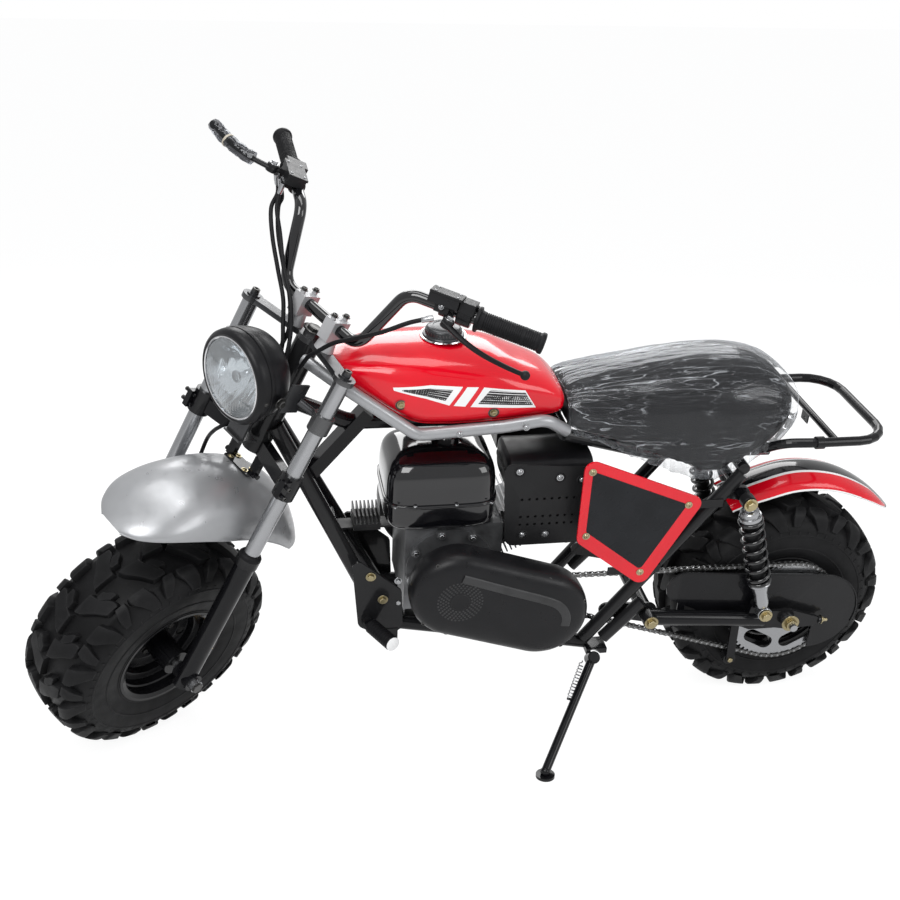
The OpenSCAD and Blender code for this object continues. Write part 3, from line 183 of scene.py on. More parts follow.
black_paint = node_material(
    "black_paint", (0.005, 0.005, 0.006), 0.2, coat=0.22, specular=0.12, vary=0.2, bump=0.01,
    wear=0.2, wear_colour=(0.012, 0.012, 0.012), edge=0.25, edge_colour=(0.04, 0.04, 0.04))
satin_black = node_material(
    "satin_black", (0.006, 0.006, 0.007), 0.36, specular=0.16, vary=0.2, bump=0.08, bump_scale=900,
    edge=0.3, edge_colour=(0.04, 0.04, 0.04))
red_paint = node_material(
    "red_paint", (0.66, 0.001, 0.012), 0.2, coat=0.6, specular=0.2, vary=0.05, rough_vary=0.04, bump=0.01)
white_paint = node_material(
    "white_paint", (0.8, 0.8, 0.8), 0.22, coat=0.6, specular=0.2, vary=0.03, bump=0.01)
stripe_black = node_material(
    "stripe_black", (0.006, 0.006, 0.007), 0.2, coat=0.6, specular=0.16, vary=0.2, bump=0.01)
silver_paint = node_material(
    "silver_paint", (0.33, 0.335, 0.345), 0.34, metal=0.5, coat=0.2, specular=0.3, vary=0.03,
    bump=0.02, bump_scale=1600)
satin_steel = node_material(
    "satin_steel", (0.34, 0.345, 0.355), 0.24, metal=0.92, vary=0.03, bump=0.01, bump_scale=700,
    rough_vary=0.04)
chrome = node_material("chrome", (0.62, 0.62, 0.63), 0.1, metal=1.0, vary=0.04, rough_vary=0.05, bump=0.01)
zinc = node_material(
    "zinc", (0.34, 0.29, 0.17), 0.3, metal=1.0, vary=0.18, bump=0.05, edge=0.3, edge_colour=(0.6, 0.54, 0.4))
brass = node_material("brass", (0.72, 0.45, 0.14), 0.25, metal=1.0, vary=0.12, bump=0.03)
cast = node_material(
    "cast", (0.13, 0.132, 0.136), 0.42, metal=0.75, vary=0.35, bump=0.3, bump_scale=420,
    wear=0.5, wear_colour=(0.03, 0.03, 0.03), edge=0.5, edge_colour=(0.5, 0.5, 0.5))
engine_gloss = node_material(
    "engine_gloss", (0.004, 0.004, 0.005), 0.09, coat=0.7, specular=0.3, vary=0.2, rough_vary=0.03,
    bump=0.008)
moulded = node_material(
    "moulded", (0.008, 0.008, 0.009), 0.34, specular=0.2, vary=0.15, bump=0.12, bump_scale=1300,
    edge=0.25, edge_colour=(0.03, 0.03, 0.03))
# Paler plastic: worn on the rims of the drive cover's perforations, and a painted highlight along the cover's
# rib
worn_and_painted_highlight_plastic = node_material(
    "worn_and_painted_highlight_plastic", (0.03, 0.03, 0.031), 0.4, specular=0.3, vary=0.3, bump=0.12, bump_scale=1300)
tyre_rubber = node_material(
    "tyre_rubber", (0.0075, 0.0075, 0.008), 0.5, specular=0.12, vary=0.3, bump=0.25, bump_scale=420,
    wear=0.35, wear_colour=(0.016, 0.016, 0.017), edge=0.4, edge_colour=(0.035, 0.035, 0.036))
grip_rubber = node_material(
    "grip_rubber", (0.007, 0.007, 0.008), 0.5, specular=0.14, vary=0.2, bump=0.25, bump_scale=1100)
vinyl = node_material(
    "vinyl", (0.005, 0.005, 0.006), 0.4, specular=0.12, vary=0.2, bump=0.04, bump_scale=520)
plate_black = node_material("plate_black", (0.012, 0.013, 0.015), 0.3, specular=0.16, vary=0.15, bump=0.03)
chain_steel = node_material(
    "chain_steel", (0.035, 0.034, 0.032), 0.34, metal=0.9, vary=0.3, bump=0.1,
    edge=0.5, edge_colour=(0.25, 0.25, 0.25))
gunmetal = node_material(
    "gunmetal", (0.04, 0.041, 0.044), 0.3, metal=0.6, vary=0.12, bump=0.06,
    edge=0.3, edge_colour=(0.2, 0.2, 0.2))
alloy = node_material("alloy", (0.42, 0.42, 0.43), 0.42, metal=0.25, specular=0.4, vary=0.08, bump=0.08)
beige = node_material("beige", (0.42, 0.38, 0.31), 0.5, vary=0.15, bump=0.2)
reflector = node_material(
    "reflector", (0.85, 0.86, 0.88), 0.06, metal=1.0, vary=0.02, rough_vary=0.02, bump=0.0)

# Looks of the construction's own solids: by material slot, then for five pieces by name
slot_looks = dict(
    black_frame=black_paint, silver_paint=silver_paint, red_paint=red_paint, black_engine=satin_black,
    plate_face=plate_black, cast_alloy=cast, soot_black=moulded, bright_steel=satin_steel,
    dark_steel=chain_steel, seat_vinyl=vinyl, tyre_rubber=tyre_rubber, rim_black=black_paint,
    grip_rubber=grip_rubber, lens_glass=chrome)
node_looks = dict(top_clamp=gunmetal, lamp_bracket=gunmetal, handlebar=engine_gloss, bar_clamps=alloy,
                  rectifier=satin_black)
for row in frame["record"]["subparts"]:
    o = nodes[row["node"]]
    o.data.materials.clear()
    o.data.materials.append(node_looks.get(row["node"], slot_looks[row["material_slot"]]))


def finish_material(m, shader):
    fill(m.node_tree, m.node_tree.nodes.new("ShaderNodeOutputMaterial"), {"Surface": shader})
    return m


# Ripples of the film run lengthwise: scale, stretch, half width and strength of their milky lines, which are
# painted highlight streaks along the folds
RIPPLES = ((34.0, (0.10, 1.0, 0.8), 0.013, 0.55), (70.0, (0.16, 1.0, 1.0), 0.012, 0.35))


def film_material(name, clear, milk, least):
    """Thin plastic: see-through with sharp reflections, milky where it folds, partly its own haze and partly
    painted highlight, with thin milky lines painted along the folds as highlight streaks.
    """
    m, t = new_material(name, empty=True)
    coord = node(t, "TexCoord", {}, "Object")
    scale, stretch = RIPPLES[0][:2]
    ripples = node(t, "Bump", {"Strength": 0.9, "Distance": 0.005,
                               "Height": noise_value(t, coord, scale, 3.0, stretch)})
    rough = remap(t, noise_value(t, coord, 14.0, 4.0), LOW_NOISE, HIGH_NOISE, 0.1, 0.24)
    see = node(t, "BsdfTransparent", {"Color": clear + (1,)})
    haze = node(t, "BsdfDiffuse", {"Color": milk + (1,)})
    shine = node(t, "BsdfGlossy", {"Color": (0.95, 0.97, 1.0, 1), "Roughness": rough, "Normal": ripples})
    # Milky on the ridges of the folds: partly the film's own haze, partly painted highlight
    haze_and_painted_streaks = remap(t, node(t, "NewGeometry", {}, "Pointiness"), 0.51, 0.6, 0.01, 0.5)
    patches = remap(t, noise_value(t, coord, 9.0, 2.0), 0.42, 0.6, 0.0, 1.0)
    # Creases: thin milky lines where stretched noise crosses its middle, painted highlight streaks along the
    # folds
    for scale, stretch, wide, most in RIPPLES:
        level = noise_value(t, coord, scale, 3.0, stretch)
        off = node(t, "Math", {0: level, 1: 0.5}, operation="SUBTRACT")
        gap = node(t, "Math", {0: off}, operation="ABSOLUTE")
        line = node(t, "Math", {0: remap(t, gap, 0.0, wide, most, 0.0), 1: patches}, operation="MULTIPLY")
        haze_and_painted_streaks = node(t, "Math", {0: haze_and_painted_streaks, 1: line}, operation="MAXIMUM")
    facing = node(t, "LayerWeight", {"Blend": 0.2, "Normal": ripples}, "Fresnel")
    cloudy = mixed_shader(t, haze_and_painted_streaks, see, haze)
    return finish_material(m, mixed_shader(t, remap(t, facing, 0.0, 1.0, least, 0.8), cloudy, shine))


def glass_material(name):
    """Lamp glass: clear and a little milky. Its flutes are geometry."""
    m, t = new_material(name, empty=True)
    coord = node(t, "TexCoord", {}, "Object")
    rough = remap(t, noise_value(t, coord, 30.0), LOW_NOISE, HIGH_NOISE, 0.04, 0.1)
    milk = remap(t, noise_value(t, coord, 22.0, 4.0), LOW_NOISE, HIGH_NOISE, 0.16, 0.3)
    see = node(t, "BsdfTransparent", {"Color": (0.88, 0.92, 0.94, 1)})
    haze = node(t, "BsdfDiffuse", {"Color": (0.55, 0.6, 0.63, 1)})
    shine = node(t, "BsdfGlossy", {"Roughness": rough})
    facing = node(t, "LayerWeight", {"Blend": 0.35}, "Fresnel")
    cloudy = mixed_shader(t, milk, see, haze)
    return finish_material(m, mixed_shader(t, remap(t, facing, 0.0, 1.0, 0.12, 1.0), cloudy, shine))


clear_film = film_material("clear_film", (0.95, 0.955, 0.96), (0.55, 0.57, 0.6), 0.02)
dark_film = film_material("dark_film", (0.25, 0.25, 0.26), (0.02, 0.02, 0.022), 0.02)
lamp_glass = glass_material("lamp_glass")


# Stage: a plain pale floor, soft light and the photograph's view
FLOOR_HALF = 60.0
PAPER_SHARE = 0.82
# Share of the white background on each kind of ray besides the camera's
BACKGROUND_SHARES = (("Is Glossy Ray", 0.5), ("Is Transmission Ray", 1.0))
# Lamps: place, aim, size and watts
LAMPS = dict(key=((1.4, 2.4, 3.0), (0, 0, 0.5), (1.8, 1.8), 82),
             fill=((-2.6, 2.4, 1.8), (0, 0, 0.5), (1.6, 1.6), 34),
             back=((-0.6, -2.6, 2.6), (0, 0, 0.6), (3.0, 1.2), 62),
             top=((0.2, 0.2, 3.2), (0, 0, 0.5), (2.6, 0.8), 30))
# The camera fitted to the photograph: azimuth, elevation and roll in degrees, place in metres, lens
CAMERA_TURN = (-10.454, 20.475, 1.001)
CAMERA_AT = (0.4659, 2.3290, 1.4535 + 0.0073)
CAMERA_LENS = 49.093


def linked(name, data):
    o = bpy.data.objects.new(name, data)
    bpy.context.collection.objects.link(o)
    return o


def seen_rays(t):
    """1 for the rays on which the white background shows: of the camera, in metal and through glass."""
    path = t.nodes.new("ShaderNodeLightPath").outputs
    seen = path["Is Camera Ray"]
    for kind, share in BACKGROUND_SHARES:
        seen = node(t, "Math", {0: seen, 1: remap(t, path[kind], 0.0, 1.0, 0.0, share)}, operation="MAXIMUM")
    return seen


def add_floor():
    mesh = bpy.data.meshes.new("floor")
    s = FLOOR_HALF
    mesh.from_pydata([(-s, -s, 0), (s, -s, 0), (s, s, 0), (-s, s, 0)], [], [(0, 1, 2, 3)])
    m, t = new_material("floor")
    matt = t.nodes["Principled BSDF"]
    fill(t, matt, {"Base Color": (0.9, 0.9, 0.9, 1), "Roughness": 0.9, "Specular IOR Level": 0.0})
    # The camera sees the floor as almost white paper, with only a faint shadow on it
    paper = node(t, "Emission", {"Strength": 1.12})
    share = remap(t, seen_rays(t), 0.0, 1.0, 0.0, PAPER_SHARE)
    fill(t, t.nodes["Material Output"], {"Surface": mixed_shader(t, share, matt.outputs[0], paper)})
    mesh.materials.append(m)
    linked("floor", mesh)


def add_world():
    world = bpy.context.scene.world or bpy.data.worlds.new("world")
    bpy.context.scene.world = world
    world.use_nodes = True
    t = world.node_tree
    t.nodes.clear()
    light = node(t, "Background", {"Color": (0.95, 0.97, 1.0, 1), "Strength": 0.42})
    white = node(t, "Background", {"Color": (1, 1, 1, 1), "Strength": 1.0})
    fill(t, t.nodes.new("ShaderNodeOutputWorld"), {0: mixed_shader(t, seen_rays(t), light, white)})


def add_lamps():
    for name, (at, to, size, watts) in LAMPS.items():
        d = bpy.data.lights.new(name, "AREA")
        d.shape = "RECTANGLE"
        d.size, d.size_y = size
        d.energy = watts
        o = linked(name, d)
        o.location = at
        o.rotation_euler = (Vector(to) - Vector(at)).to_track_quat("-Z", "Y").to_euler()


def add_camera():
    az, el, roll = (radians(v) for v in CAMERA_TURN)
    back = Vector((-sin(az) * cos(el), cos(az) * cos(el), sin(el)))
    right = (-back).cross(Vector((0, 0, 1))).normalized()
    up = right.cross(-back)
    x = cos(roll) * right + sin(roll) * up
    y = -sin(roll) * right + cos(roll) * up
    place = Vector((CAMERA_AT[0] - MIDDLE[0] * MM, CAMERA_AT[1] - MIDDLE[1] * MM, CAMERA_AT[2]))
    d = bpy.data.cameras.new("camera")
    d.lens = CAMERA_LENS
    d.sensor_width = 36.0
    d.sensor_fit = "HORIZONTAL"
    o = linked("camera", d)
    o.matrix_world = Matrix([(x[i], y[i], back[i], place[i]) for i in range(3)] + [(0, 0, 0, 1)])
    bpy.context.scene.camera = o


add_floor()
add_world()
add_lamps()
add_camera()
bpy.context.scene.view_settings.view_transform = "Standard"


# Building blocks of the pieces
def circle(count, shift=0.0):
    """Angles of a full turn in equal steps."""
    return [2 * pi * (j + shift) / count for j in range(count)]


def mirrored(p, side):
    return Vector((p[0], side * p[1], p[2]))


def catmull(table, t):
    """Row at t of a table whose numbers run smoothly from row to row."""
    n = len(table) - 1
    i = min(int(floor(t)), n - 1)
    f = t - i
    a, b, c, d = table[max(i - 1, 0)], table[i], table[i + 1], table[min(i + 2, n)]
    return [q + f * (r - p) / 2 + f * f * (2 * p - 5 * q + 4 * r - s) / 2
            + f ** 3 * (3 * q - 3 * r + s - p) / 2 for p, q, r, s in zip(a, b, c, d)]


def smooth(points, steps):
    """Smooth path through a few points."""
    count = (len(points) - 1) * steps
    return [Vector(catmull(points, k / steps)) for k in range(count + 1)]


def bent(points, radius, steps=8):
    """Path with every corner bent to one radius."""
    p = [Vector(q) for q in points]
    out = [p[0]]
    for i in range(1, len(p) - 1):
        u, v = (p[i] - p[i - 1]).normalized(), (p[i + 1] - p[i]).normalized()
        a = u.angle(v)
        s = (v - u * u.dot(v)).normalized()
        start = p[i] - u * radius * tan(a / 2)
        for k in range(steps + 1):
            w = a * k / steps
            out.append(start + radius * ((1 - cos(w)) * s + sin(w) * u))
    out.append(p[-1])
    return out


def aimed(at, to):
    """Matrix whose z runs along the way to."""
    return Matrix.Translation(Vector(at)) @ Vector(to).to_track_quat("Z", "Y").to_matrix().to_4x4()


def arc_outline(centres, r, steps=8):
    """Outline round circles of one radius at the corners of a convex shape, in x and z."""
    n = len(centres)
    pairs = zip(centres, centres[1:] + centres[:1])
    area = sum(p[0] * q[1] - q[0] * p[1] for p, q in pairs)
    pts = centres if area > 0 else centres[::-1]
    out = []
    for i in range(n):
        a, b, c = Vector(pts[i - 1]), Vector(pts[i]), Vector(pts[(i + 1) % n])
        start = atan2((b - a).y, (b - a).x) - pi / 2
        end = atan2((c - b).y, (c - b).x) - pi / 2
        while end < start:
            end += 2 * pi
        out += [(b.x + r * cos(start + (end - start) * k / steps),
                 b.y + r * sin(start + (end - start) * k / steps)) for k in range(steps + 1)]
    return out


BEVEL_ANGLE = 40
BOX_FACES = [(0, 1, 3, 2), (4, 6, 7, 5), (0, 4, 5, 1), (2, 3, 7, 6), (0, 2, 6, 4), (1, 5, 7, 3)]


class Shape:
    """Points and faces of one piece in millimetres, gathered from turned, swept and flat parts."""

    def __init__(self):
        self.verts, self.faces, self.marks = [], [], []

    def add(self, verts, faces, mark=0):
        k = len(self.verts)
        self.verts += [Vector(v) for v in verts]
        self.faces += [[i + k for i in f] for f in faces]
        self.marks += mark if isinstance(mark, list) else [mark] * len(faces)
        return self

    def skin(self, rows, loop=False, ring=True, caps=True, mark=0):
        """Skin over rows of points: loop joins the last row to the first, ring closes each row."""
        n, c = len(rows), len(rows[0])
        faces = [(i * c + j, i * c + (j + 1) % c, (i + 1) % n * c + (j + 1) % c, (i + 1) % n * c + j)
                 for i in range(n if loop else n - 1) for j in range(c if ring else c - 1)]
        if caps and ring and not loop:
            faces += [tuple(range(c))[::-1], tuple((n - 1) * c + j for j in range(c))]
        if callable(mark):
            mark = [mark(i, j) for i in range(n if loop else n - 1) for j in range(c if ring else c - 1)]
            mark += [0] * (len(faces) - len(mark))
        return self.add([p for r in rows for p in r], faces, mark)

    def turned(self, profile, at, to, segs=32, mark=0, caps=True):
        """Surface of revolution from (radius, height) along the way to."""
        m = aimed(at, to)
        rows = [[m @ Vector((r * cos(a), r * sin(a), h)) for a in circle(segs)] for r, h in profile]
        return self.skin(rows, caps=caps, mark=mark)

    def tube(self, path, r, sides=16, mark=0, loop=False):
        """Round bar or cord along a path: r is one radius, or one for each point."""
        p = [Vector(q) for q in path]
        n = len(p)
        side = None
        rows = []
        for i in range(n):
            before = p[i - 1] if (i or loop) else p[0]
            after = p[(i + 1) % n] if (i < n - 1 or loop) else p[-1]
            d = (after - before).normalized()
            if side is None:
                side = d.orthogonal().normalized()
            side = (side - d * side.dot(d)).normalized()
            up = d.cross(side)
            q = r[i] if isinstance(r, (list, tuple)) else r
            rows.append([p[i] + q * (cos(a) * side + sin(a) * up) for a in circle(sides)])
        return self.skin(rows, loop=loop, mark=mark)

    def box(self, at, size, tilt=None, mark=0):
        m = Matrix.Translation(Vector(at)) @ (tilt or Matrix.Identity(4))
        v = [m @ Vector((sx * size[0] / 2, sy * size[1] / 2, sz * size[2] / 2))
             for sx in (-1, 1) for sy in (-1, 1) for sz in (-1, 1)]
        return self.add(v, BOX_FACES, mark)

    def plate(self, outline, y0, y1, mark=0, rim=None):
        """Flat plate across the machine: outline in x and z, from y0 to y1."""
        n = len(outline)
        v = [(x, y, z) for y in (y0, y1) for x, z in outline]
        sides = [(i, (i + 1) % n, n + (i + 1) % n, n + i) for i in range(n)]
        rim = mark if rim is None else rim
        return self.add(v, [tuple(range(n)), tuple(range(2 * n - 1, n - 1, -1))] + sides,
                        [mark] * 2 + [rim] * n)

    def bolt(self, at, to, r, kind="hex", mark=0, h=None, washer=True):
        """A bolt's head on its seat: hex, socket or dome, with a washer under it."""
        at, to = Vector(at), Vector(to).normalized()
        h = h or (r * 0.75 if kind != "dome" else r * 0.55)
        w = r * 0.22 if washer else 0.0
        if washer:
            self.turned([(0, 0), (r * 1.45, 0), (r * 1.5, w * 0.4), (r * 1.45, w), (0, w)], at, to, 24, mark)
        if kind == "hex":
            m = aimed(at, to)
            rows = [[m @ Vector((q * r * cos(a), q * r * sin(a), z)) for a in circle(6, 0.5)]
                    for q, z in ((1.0, w), (1.0, w + h * 0.85), (0.86, w + h))]
            self.skin(rows, mark=mark)
        elif kind == "socket":
            self.turned([(0, w), (r, w), (r, w + h * 0.9), (r * 0.92, w + h), (r * 0.55, w + h),
                         (r * 0.5, w + h * 0.4), (0, w + h * 0.4)], at, to, 20, mark)
        else:
            self.turned([(0, w), (r, w), (r, w + h * 0.25), (r * 0.8, w + h * 0.75), (r * 0.45, w + h),
                         (r * 0.3, w + h), (r * 0.26, w + h * 0.5), (0, w + h * 0.5)], at, to, 20, mark)
        return self

    def make(self, name, body, materials, frame=MACHINE, crease=35, stands_for=(), slot=None, bevel=0.0,
             weld=0.001):
        """The piece itself, placed by its frame and riding on a body, for the nodes that it stands for."""
        bm = bmesh.new()
        vs = [bm.verts.new((frame @ v) * MM) for v in self.verts]
        for f, mark in zip(self.faces, self.marks):
            ids = []
            for i in f:
                if vs[i] not in ids:
                    ids.append(vs[i])
            if len(ids) > 2:
                try:
                    bm.faces.new(ids).material_index = mark
                except ValueError:
                    pass
        bmesh.ops.remove_doubles(bm, verts=bm.verts, dist=weld * MM)
        bmesh.ops.recalc_face_normals(bm, faces=bm.faces)
        lim = radians(crease)
        for f in bm.faces:
            f.smooth = True
        for e in bm.edges:
            if len(e.link_faces) != 2 or e.calc_face_angle(0) > lim:
                e.smooth = False
        mesh = bpy.data.meshes.new(name)
        bm.to_mesh(mesh)
        bm.free()
        o = linked(name, mesh)
        for m in (materials if isinstance(materials, (list, tuple)) else [materials]):
            mesh.materials.append(m)
        if bevel:
            mod = o.modifiers.new("bevel", "BEVEL")
            mod.width = bevel * MM
            mod.segments = 2
            mod.limit_method = "ANGLE"
            mod.angle_limit = radians(BEVEL_ANGLE)
        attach(o, body)
        if stands_for:
            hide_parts(*stands_for)
        return o


def squared(s, a, powers):
    """One point of a rounded section: x, half width, low z, widest z, top z at the turn a."""
    c, n = cos(a), sin(a)
    power = powers[0] if n > 0 else powers[1]
    y = s[1] * copysign(abs(c) ** (2 / power), c)
    z = s[3] + ((s[4] - s[3]) if n > 0 else (s[3] - s[2])) * copysign(abs(n) ** (2 / power), n)
    return Vector((s[0], y, z))


def body_rows(table, rings, sides, powers):
    """Rounded sections through a table of such rows, with rings steps between two of them."""
    return [[squared(catmull(table, k / rings), a, powers) for a in circle(sides, 0.5)]
            for k in range((len(table) - 1) * rings + 1)]


def bolts(name, body, material, rows, frame=MACHINE, bevel=0.0):
    """One piece of bolt heads, from rows of what Shape.bolt takes."""
    shape = Shape()
    for at, to, r, *more in rows:
        shape.bolt(at, to, r, *more)
    shape.make(name, body, material, frame=frame, bevel=bevel)


# Tyres: a smooth carcass with moulded rings, and lugs that follow the construction's tread
CROWN_R = 300
CROWN_MID = TYRE_R - CROWN_R
SHOULDER_R = 25
SHOULDER_TURN = asin((TYRE_W / 2 - 27) / CROWN_R)
SHOULDER_AT = (CROWN_MID + (CROWN_R - SHOULDER_R) * cos(SHOULDER_TURN),
               (CROWN_R - SHOULDER_R) * sin(SHOULDER_TURN))
LUG_DEPTH = 14
PITCHES = 14
CROWN_LEN = CROWN_R * SHOULDER_TURN
SHOULDER_END = radians(68)
SHOULDER_LEN = SHOULDER_R * (SHOULDER_END - SHOULDER_TURN)
# Past the shoulder the face runs straight down the sidewall, to this radius and distance from the middle
SIDE_LEN, SIDE_R, SIDE_Y = 24, 197, 87.6


def tread_point(s, low):
    """Radius and distance from the middle, at s along the tread's outer face and low under it."""
    if s <= CROWN_LEN:
        a = s / CROWN_R
        return CROWN_MID + (CROWN_R - low) * cos(a), (CROWN_R - low) * sin(a)
    a = SHOULDER_TURN + (s - CROWN_LEN) / SHOULDER_R
    b = min(a, SHOULDER_END)
    p = (SHOULDER_AT[0] + (SHOULDER_R - low) * cos(b), SHOULDER_AT[1] + (SHOULDER_R - low) * sin(b))
    if a <= SHOULDER_END:
        return p
    f = (s - CROWN_LEN - SHOULDER_LEN) / SIDE_LEN
    return p[0] + (SIDE_R - p[0]) * f, p[1] + (SIDE_Y + (LUG_DEPTH - low) * 0.16 - p[1]) * f


# Lugs on the left half: rows of place along the section, middle and half width in parts of a pitch
LUGS = [
    [(0.8, 0.30, 0.20), (14, 0.34, 0.19), (26, 0.42, 0.17), (38, 0.52, 0.17), (50, 0.58, 0.15),
     (56, 0.60, 0.12)],
    [(15, 0.62, 0.07), (22, 0.64, 0.10), (30, 0.72, 0.10), (37, 0.76, 0.07)],
    [(58, 1.09, 0.17), (66, 1.10, 0.19), (76, 1.13, 0.19), (87, 1.19, 0.17), (99, 1.24, 0.14),
     (111, 1.28, 0.10)],
    [(60, 0.73, 0.10), (70, 0.71, 0.12), (80, 0.68, 0.12), (92, 0.64, 0.10), (104, 0.61, 0.07)],
]
# Across a lug: part of its half width, how much wider its foot is, and how low the point lies
LUG_ACROSS = ((-1, 1.22, 15.0), (-1, 1.0, 1.1), (-0.9, 1.0, 0), (-0.3, 1.0, 0),
              (0.3, 1.0, 0), (0.9, 1.0, 0), (1, 1.0, 1.1), (1, 1.22, 15.0))
# The same points on the foot of an end wall
LUG_FOOT = (-1, -1, -0.9, -0.3, 0.3, 0.9, 1, 1)
# Left half of the carcass below the tread, with its moulded rings and its bead: radius and distance
# from the middle
SIDEWALL = [(209, 74), (203, 80.5), (196, 85), (190, 87.6), (184, 88.6), (183, 89.6), (180.5, 89.8),
            (179, 88.8), (170, 88.9), (160, 88.4), (151, 87.2), (150, 88.2), (148, 88.2), (147, 86.8),
            (136, 85.0), (126, 82.0), (121, 80.2), (119.5, 81.4), (117, 81.2), (115.5, 78.6),
            (112.3, 76.8), (108, 76.2), (106.3, 74.0), (112, 66), (160, 70)]
TYRE_SEGS = 168


def make_tyre(name, body, frame, node, down, side, shoulder, slant):
    """The lug whose flat top is named by side and row lies at the turn down, as in the construction."""
    shape = Shape()
    own = (side > 0) == (not shoulder)
    shift = radians(down) - radians((0.3 + (0 if own else 0.5)) * 360 / PITCHES + slant)
    pitch = 2 * pi / PITCHES

    def spot(r, y, a):
        return Vector((r * cos(a), y, r * sin(a)))

    section = [tread_point(s, LUG_DEPTH) for s in range(0, 87, 6)] + SIDEWALL
    ring = [(r, -y) for r, y in section[::-1]] + section[1:]
    shape.skin([[spot(r, y, a) for a in circle(TYRE_SEGS)] for r, y in ring], loop=True)
    for half, own_turn in ((1, 0), (-1, 0.5)):
        for k in range(PITCHES):
            for table in LUGS:
                rows = [catmull(table, i / 3) for i in range((len(table) - 1) * 3 + 1)]
                cols = []
                for s, mid, half_w in rows:
                    line = []
                    for at, wide, low in LUG_ACROSS:
                        r, y = tread_point(s, low)
                        a = (k + own_turn + mid + at * wide * half_w) * pitch + shift
                        line.append(spot(r, half * y, a))
                    cols.append(line)
                # End walls that slope down to the carcass
                ends = []
                for (s, mid, half_w), step in ((rows[0], -2.5), (rows[-1], 2.5)):
                    r, y = tread_point(max(s + step, 0), LUG_DEPTH + 1.0)
                    ends.append([spot(r, half * y, (k + own_turn + mid + at * 1.2 * half_w) * pitch + shift)
                                 for at in LUG_FOOT])
                shape.skin([ends[0]] + cols + [ends[1]], ring=False)
    # Fine ribs round the sidewall's shoulder
    for half in (1, -1):
        for k in range(PITCHES * 4):
            a = (k + 0.5) * pitch / 4
            shape.skin([[spot(r, half * y, a + da) for da in (-0.006, 0.006)]
                        for r, y in ((192, 87.0), (191, 89.0), (185, 89.9), (184, 88.0))], ring=False)
    shape.make(name, body, tyre_rubber, frame=frame, stands_for=[node], slot="tyre_rubber", crease=28)


make_tyre("rear_tyre_tread", "rear_wheel", REAR, "rear_tyre", -90 - NOSE_UP, 1, False, 7.0)
to_upright = MACHINE.to_3x3().inverted() @ Vector((0, 0, -1))
fork_turn = (turn(-RAKE, "Y") @ turn(STEER, "Z")).to_3x3()
in_fork = fork_turn.inverted() @ to_upright
front_side = 1 if in_fork.y > 0 else -1
make_tyre("front_tyre_tread", "front_wheel", FORK, "front_tyre",
          degrees(atan2(in_fork.z, in_fork.x)), front_side, True, 8.5)


# Wheels: valve stems and hub bolts
LEFT, RIGHT, UP = (0, 1, 0), (0, -1, 0), (0, 0, 1)
WHEELS = (("front", "front_wheel", FORK), ("rear", "rear_wheel", REAR))
for name, body, frame_at in WHEELS:
    valve = Shape()
    a = radians(168 if name == "front" else 200)
    path = smooth([(r * cos(a), y, r * sin(a)) for r, y in ((101, 52), (92, 60), (87, 72), (88, 88))], 5)
    valve.tube(path, [3.4] * 9 + [2.8] * 7, 12)
    valve.turned([(0, 0), (4.2, 0), (4.2, 9), (3.4, 10.5), (0, 10.5)], path[-1], LEFT, 14)
    valve.make(name + "_valve_stem", body, brass, frame=frame_at)
    bolts(name + "_hub_bolts", body, chain_steel,
          [((42 * cos(a), 13.6, 42 * sin(a)), LEFT, 6.5) for a in circle(6, 0.5)], frame_at, 0.4)


# Fuel tank: smooth pressing with a seam, side bolts and a plain striped panel
TANK = [[300, 12, 812, 824, 834], [278, 58, 796, 824, TANK_TOP - 22], [216, 88, 764, 808, TANK_TOP - 4],
        [150, TANK_HALF - 2, 724, 792, TANK_TOP], [90, TANK_HALF, 716, 785, TANK_TOP],
        [0, TANK_HALF - 4, 716, 783, TANK_TOP - 13], [-60, TANK_HALF - 10, 719, 778, TANK_TOP - 38],
        [-112, TANK_HALF - 20, 722, 768, TANK_TOP - 62], [-138, TANK_HALF - 28, 728, 758, TANK_TOP - 84],
        [-147, TANK_HALF - 44, 738, 752, TANK_TOP - 98]]
TANK_POWERS = (2.5, 4.2)


def tank_row(x):
    """The tank's section at x, by halving the table's span."""
    low, high = 0.0, float(len(TANK) - 1)
    for _ in range(40):
        mid = (low + high) / 2
        if catmull(TANK, mid)[0] > x:
            low = mid
        else:
            high = mid
    return catmull(TANK, low)


def tank_side(x, z, proud=0.0):
    """Point on the tank's left side."""
    s = tank_row(x)
    up = z >= s[3]
    power = TANK_POWERS[0] if up else TANK_POWERS[1]
    u = min(0.999, abs(z - s[3]) / ((s[4] - s[3]) if up else (s[3] - s[2])))
    y = s[1] * (1 - u ** power) ** (1 / power)
    n = Vector((0, (y / s[1]) ** (power - 1) / s[1], copysign(u ** (power - 1), z - s[3])
                / ((s[4] - s[3]) if up else (s[3] - s[2])))).normalized()
    return Vector((x, y, z)) + n * proud, n


tank = Shape()
tank.skin(body_rows(TANK, 8, 96, TANK_POWERS))
tank.make("tank_shell", "frame", red_paint, stands_for=["fuel_tank"], slot="red_paint", crease=50)
seam = Shape()
rows = [catmull(TANK, k / 8) for k in range(4, 8 * 9 - 3)]
low_line = [squared(s, radians(-47), TANK_POWERS) for s in rows]
seam.tube(low_line, 1.9, 10)
seam.tube([mirrored(p, -1) for p in low_line], 1.9, 10)
seam.make("tank_seam", "frame", red_paint, slot="red_paint")
cups = Shape()
heads = []
for half in (1, -1):
    for x, z in ((172.8, 771.7), (-1.4, 749.1)):
        p, n = (mirrored(q, half) for q in tank_side(x, z))
        heads.append((p + n * 0.4, n, 5.2, "socket", 0, 3.4))
        cups.turned([(0, 0.2), (10, 0.2), (10.6, 0.9), (9.6, 1.5), (7.8, 0.9), (0, 0.9)], p, n, 32)
bolts("tank_bolts", "frame", zinc, heads, bevel=0.3)
cups.make("tank_bolt_cups", "frame", chain_steel)


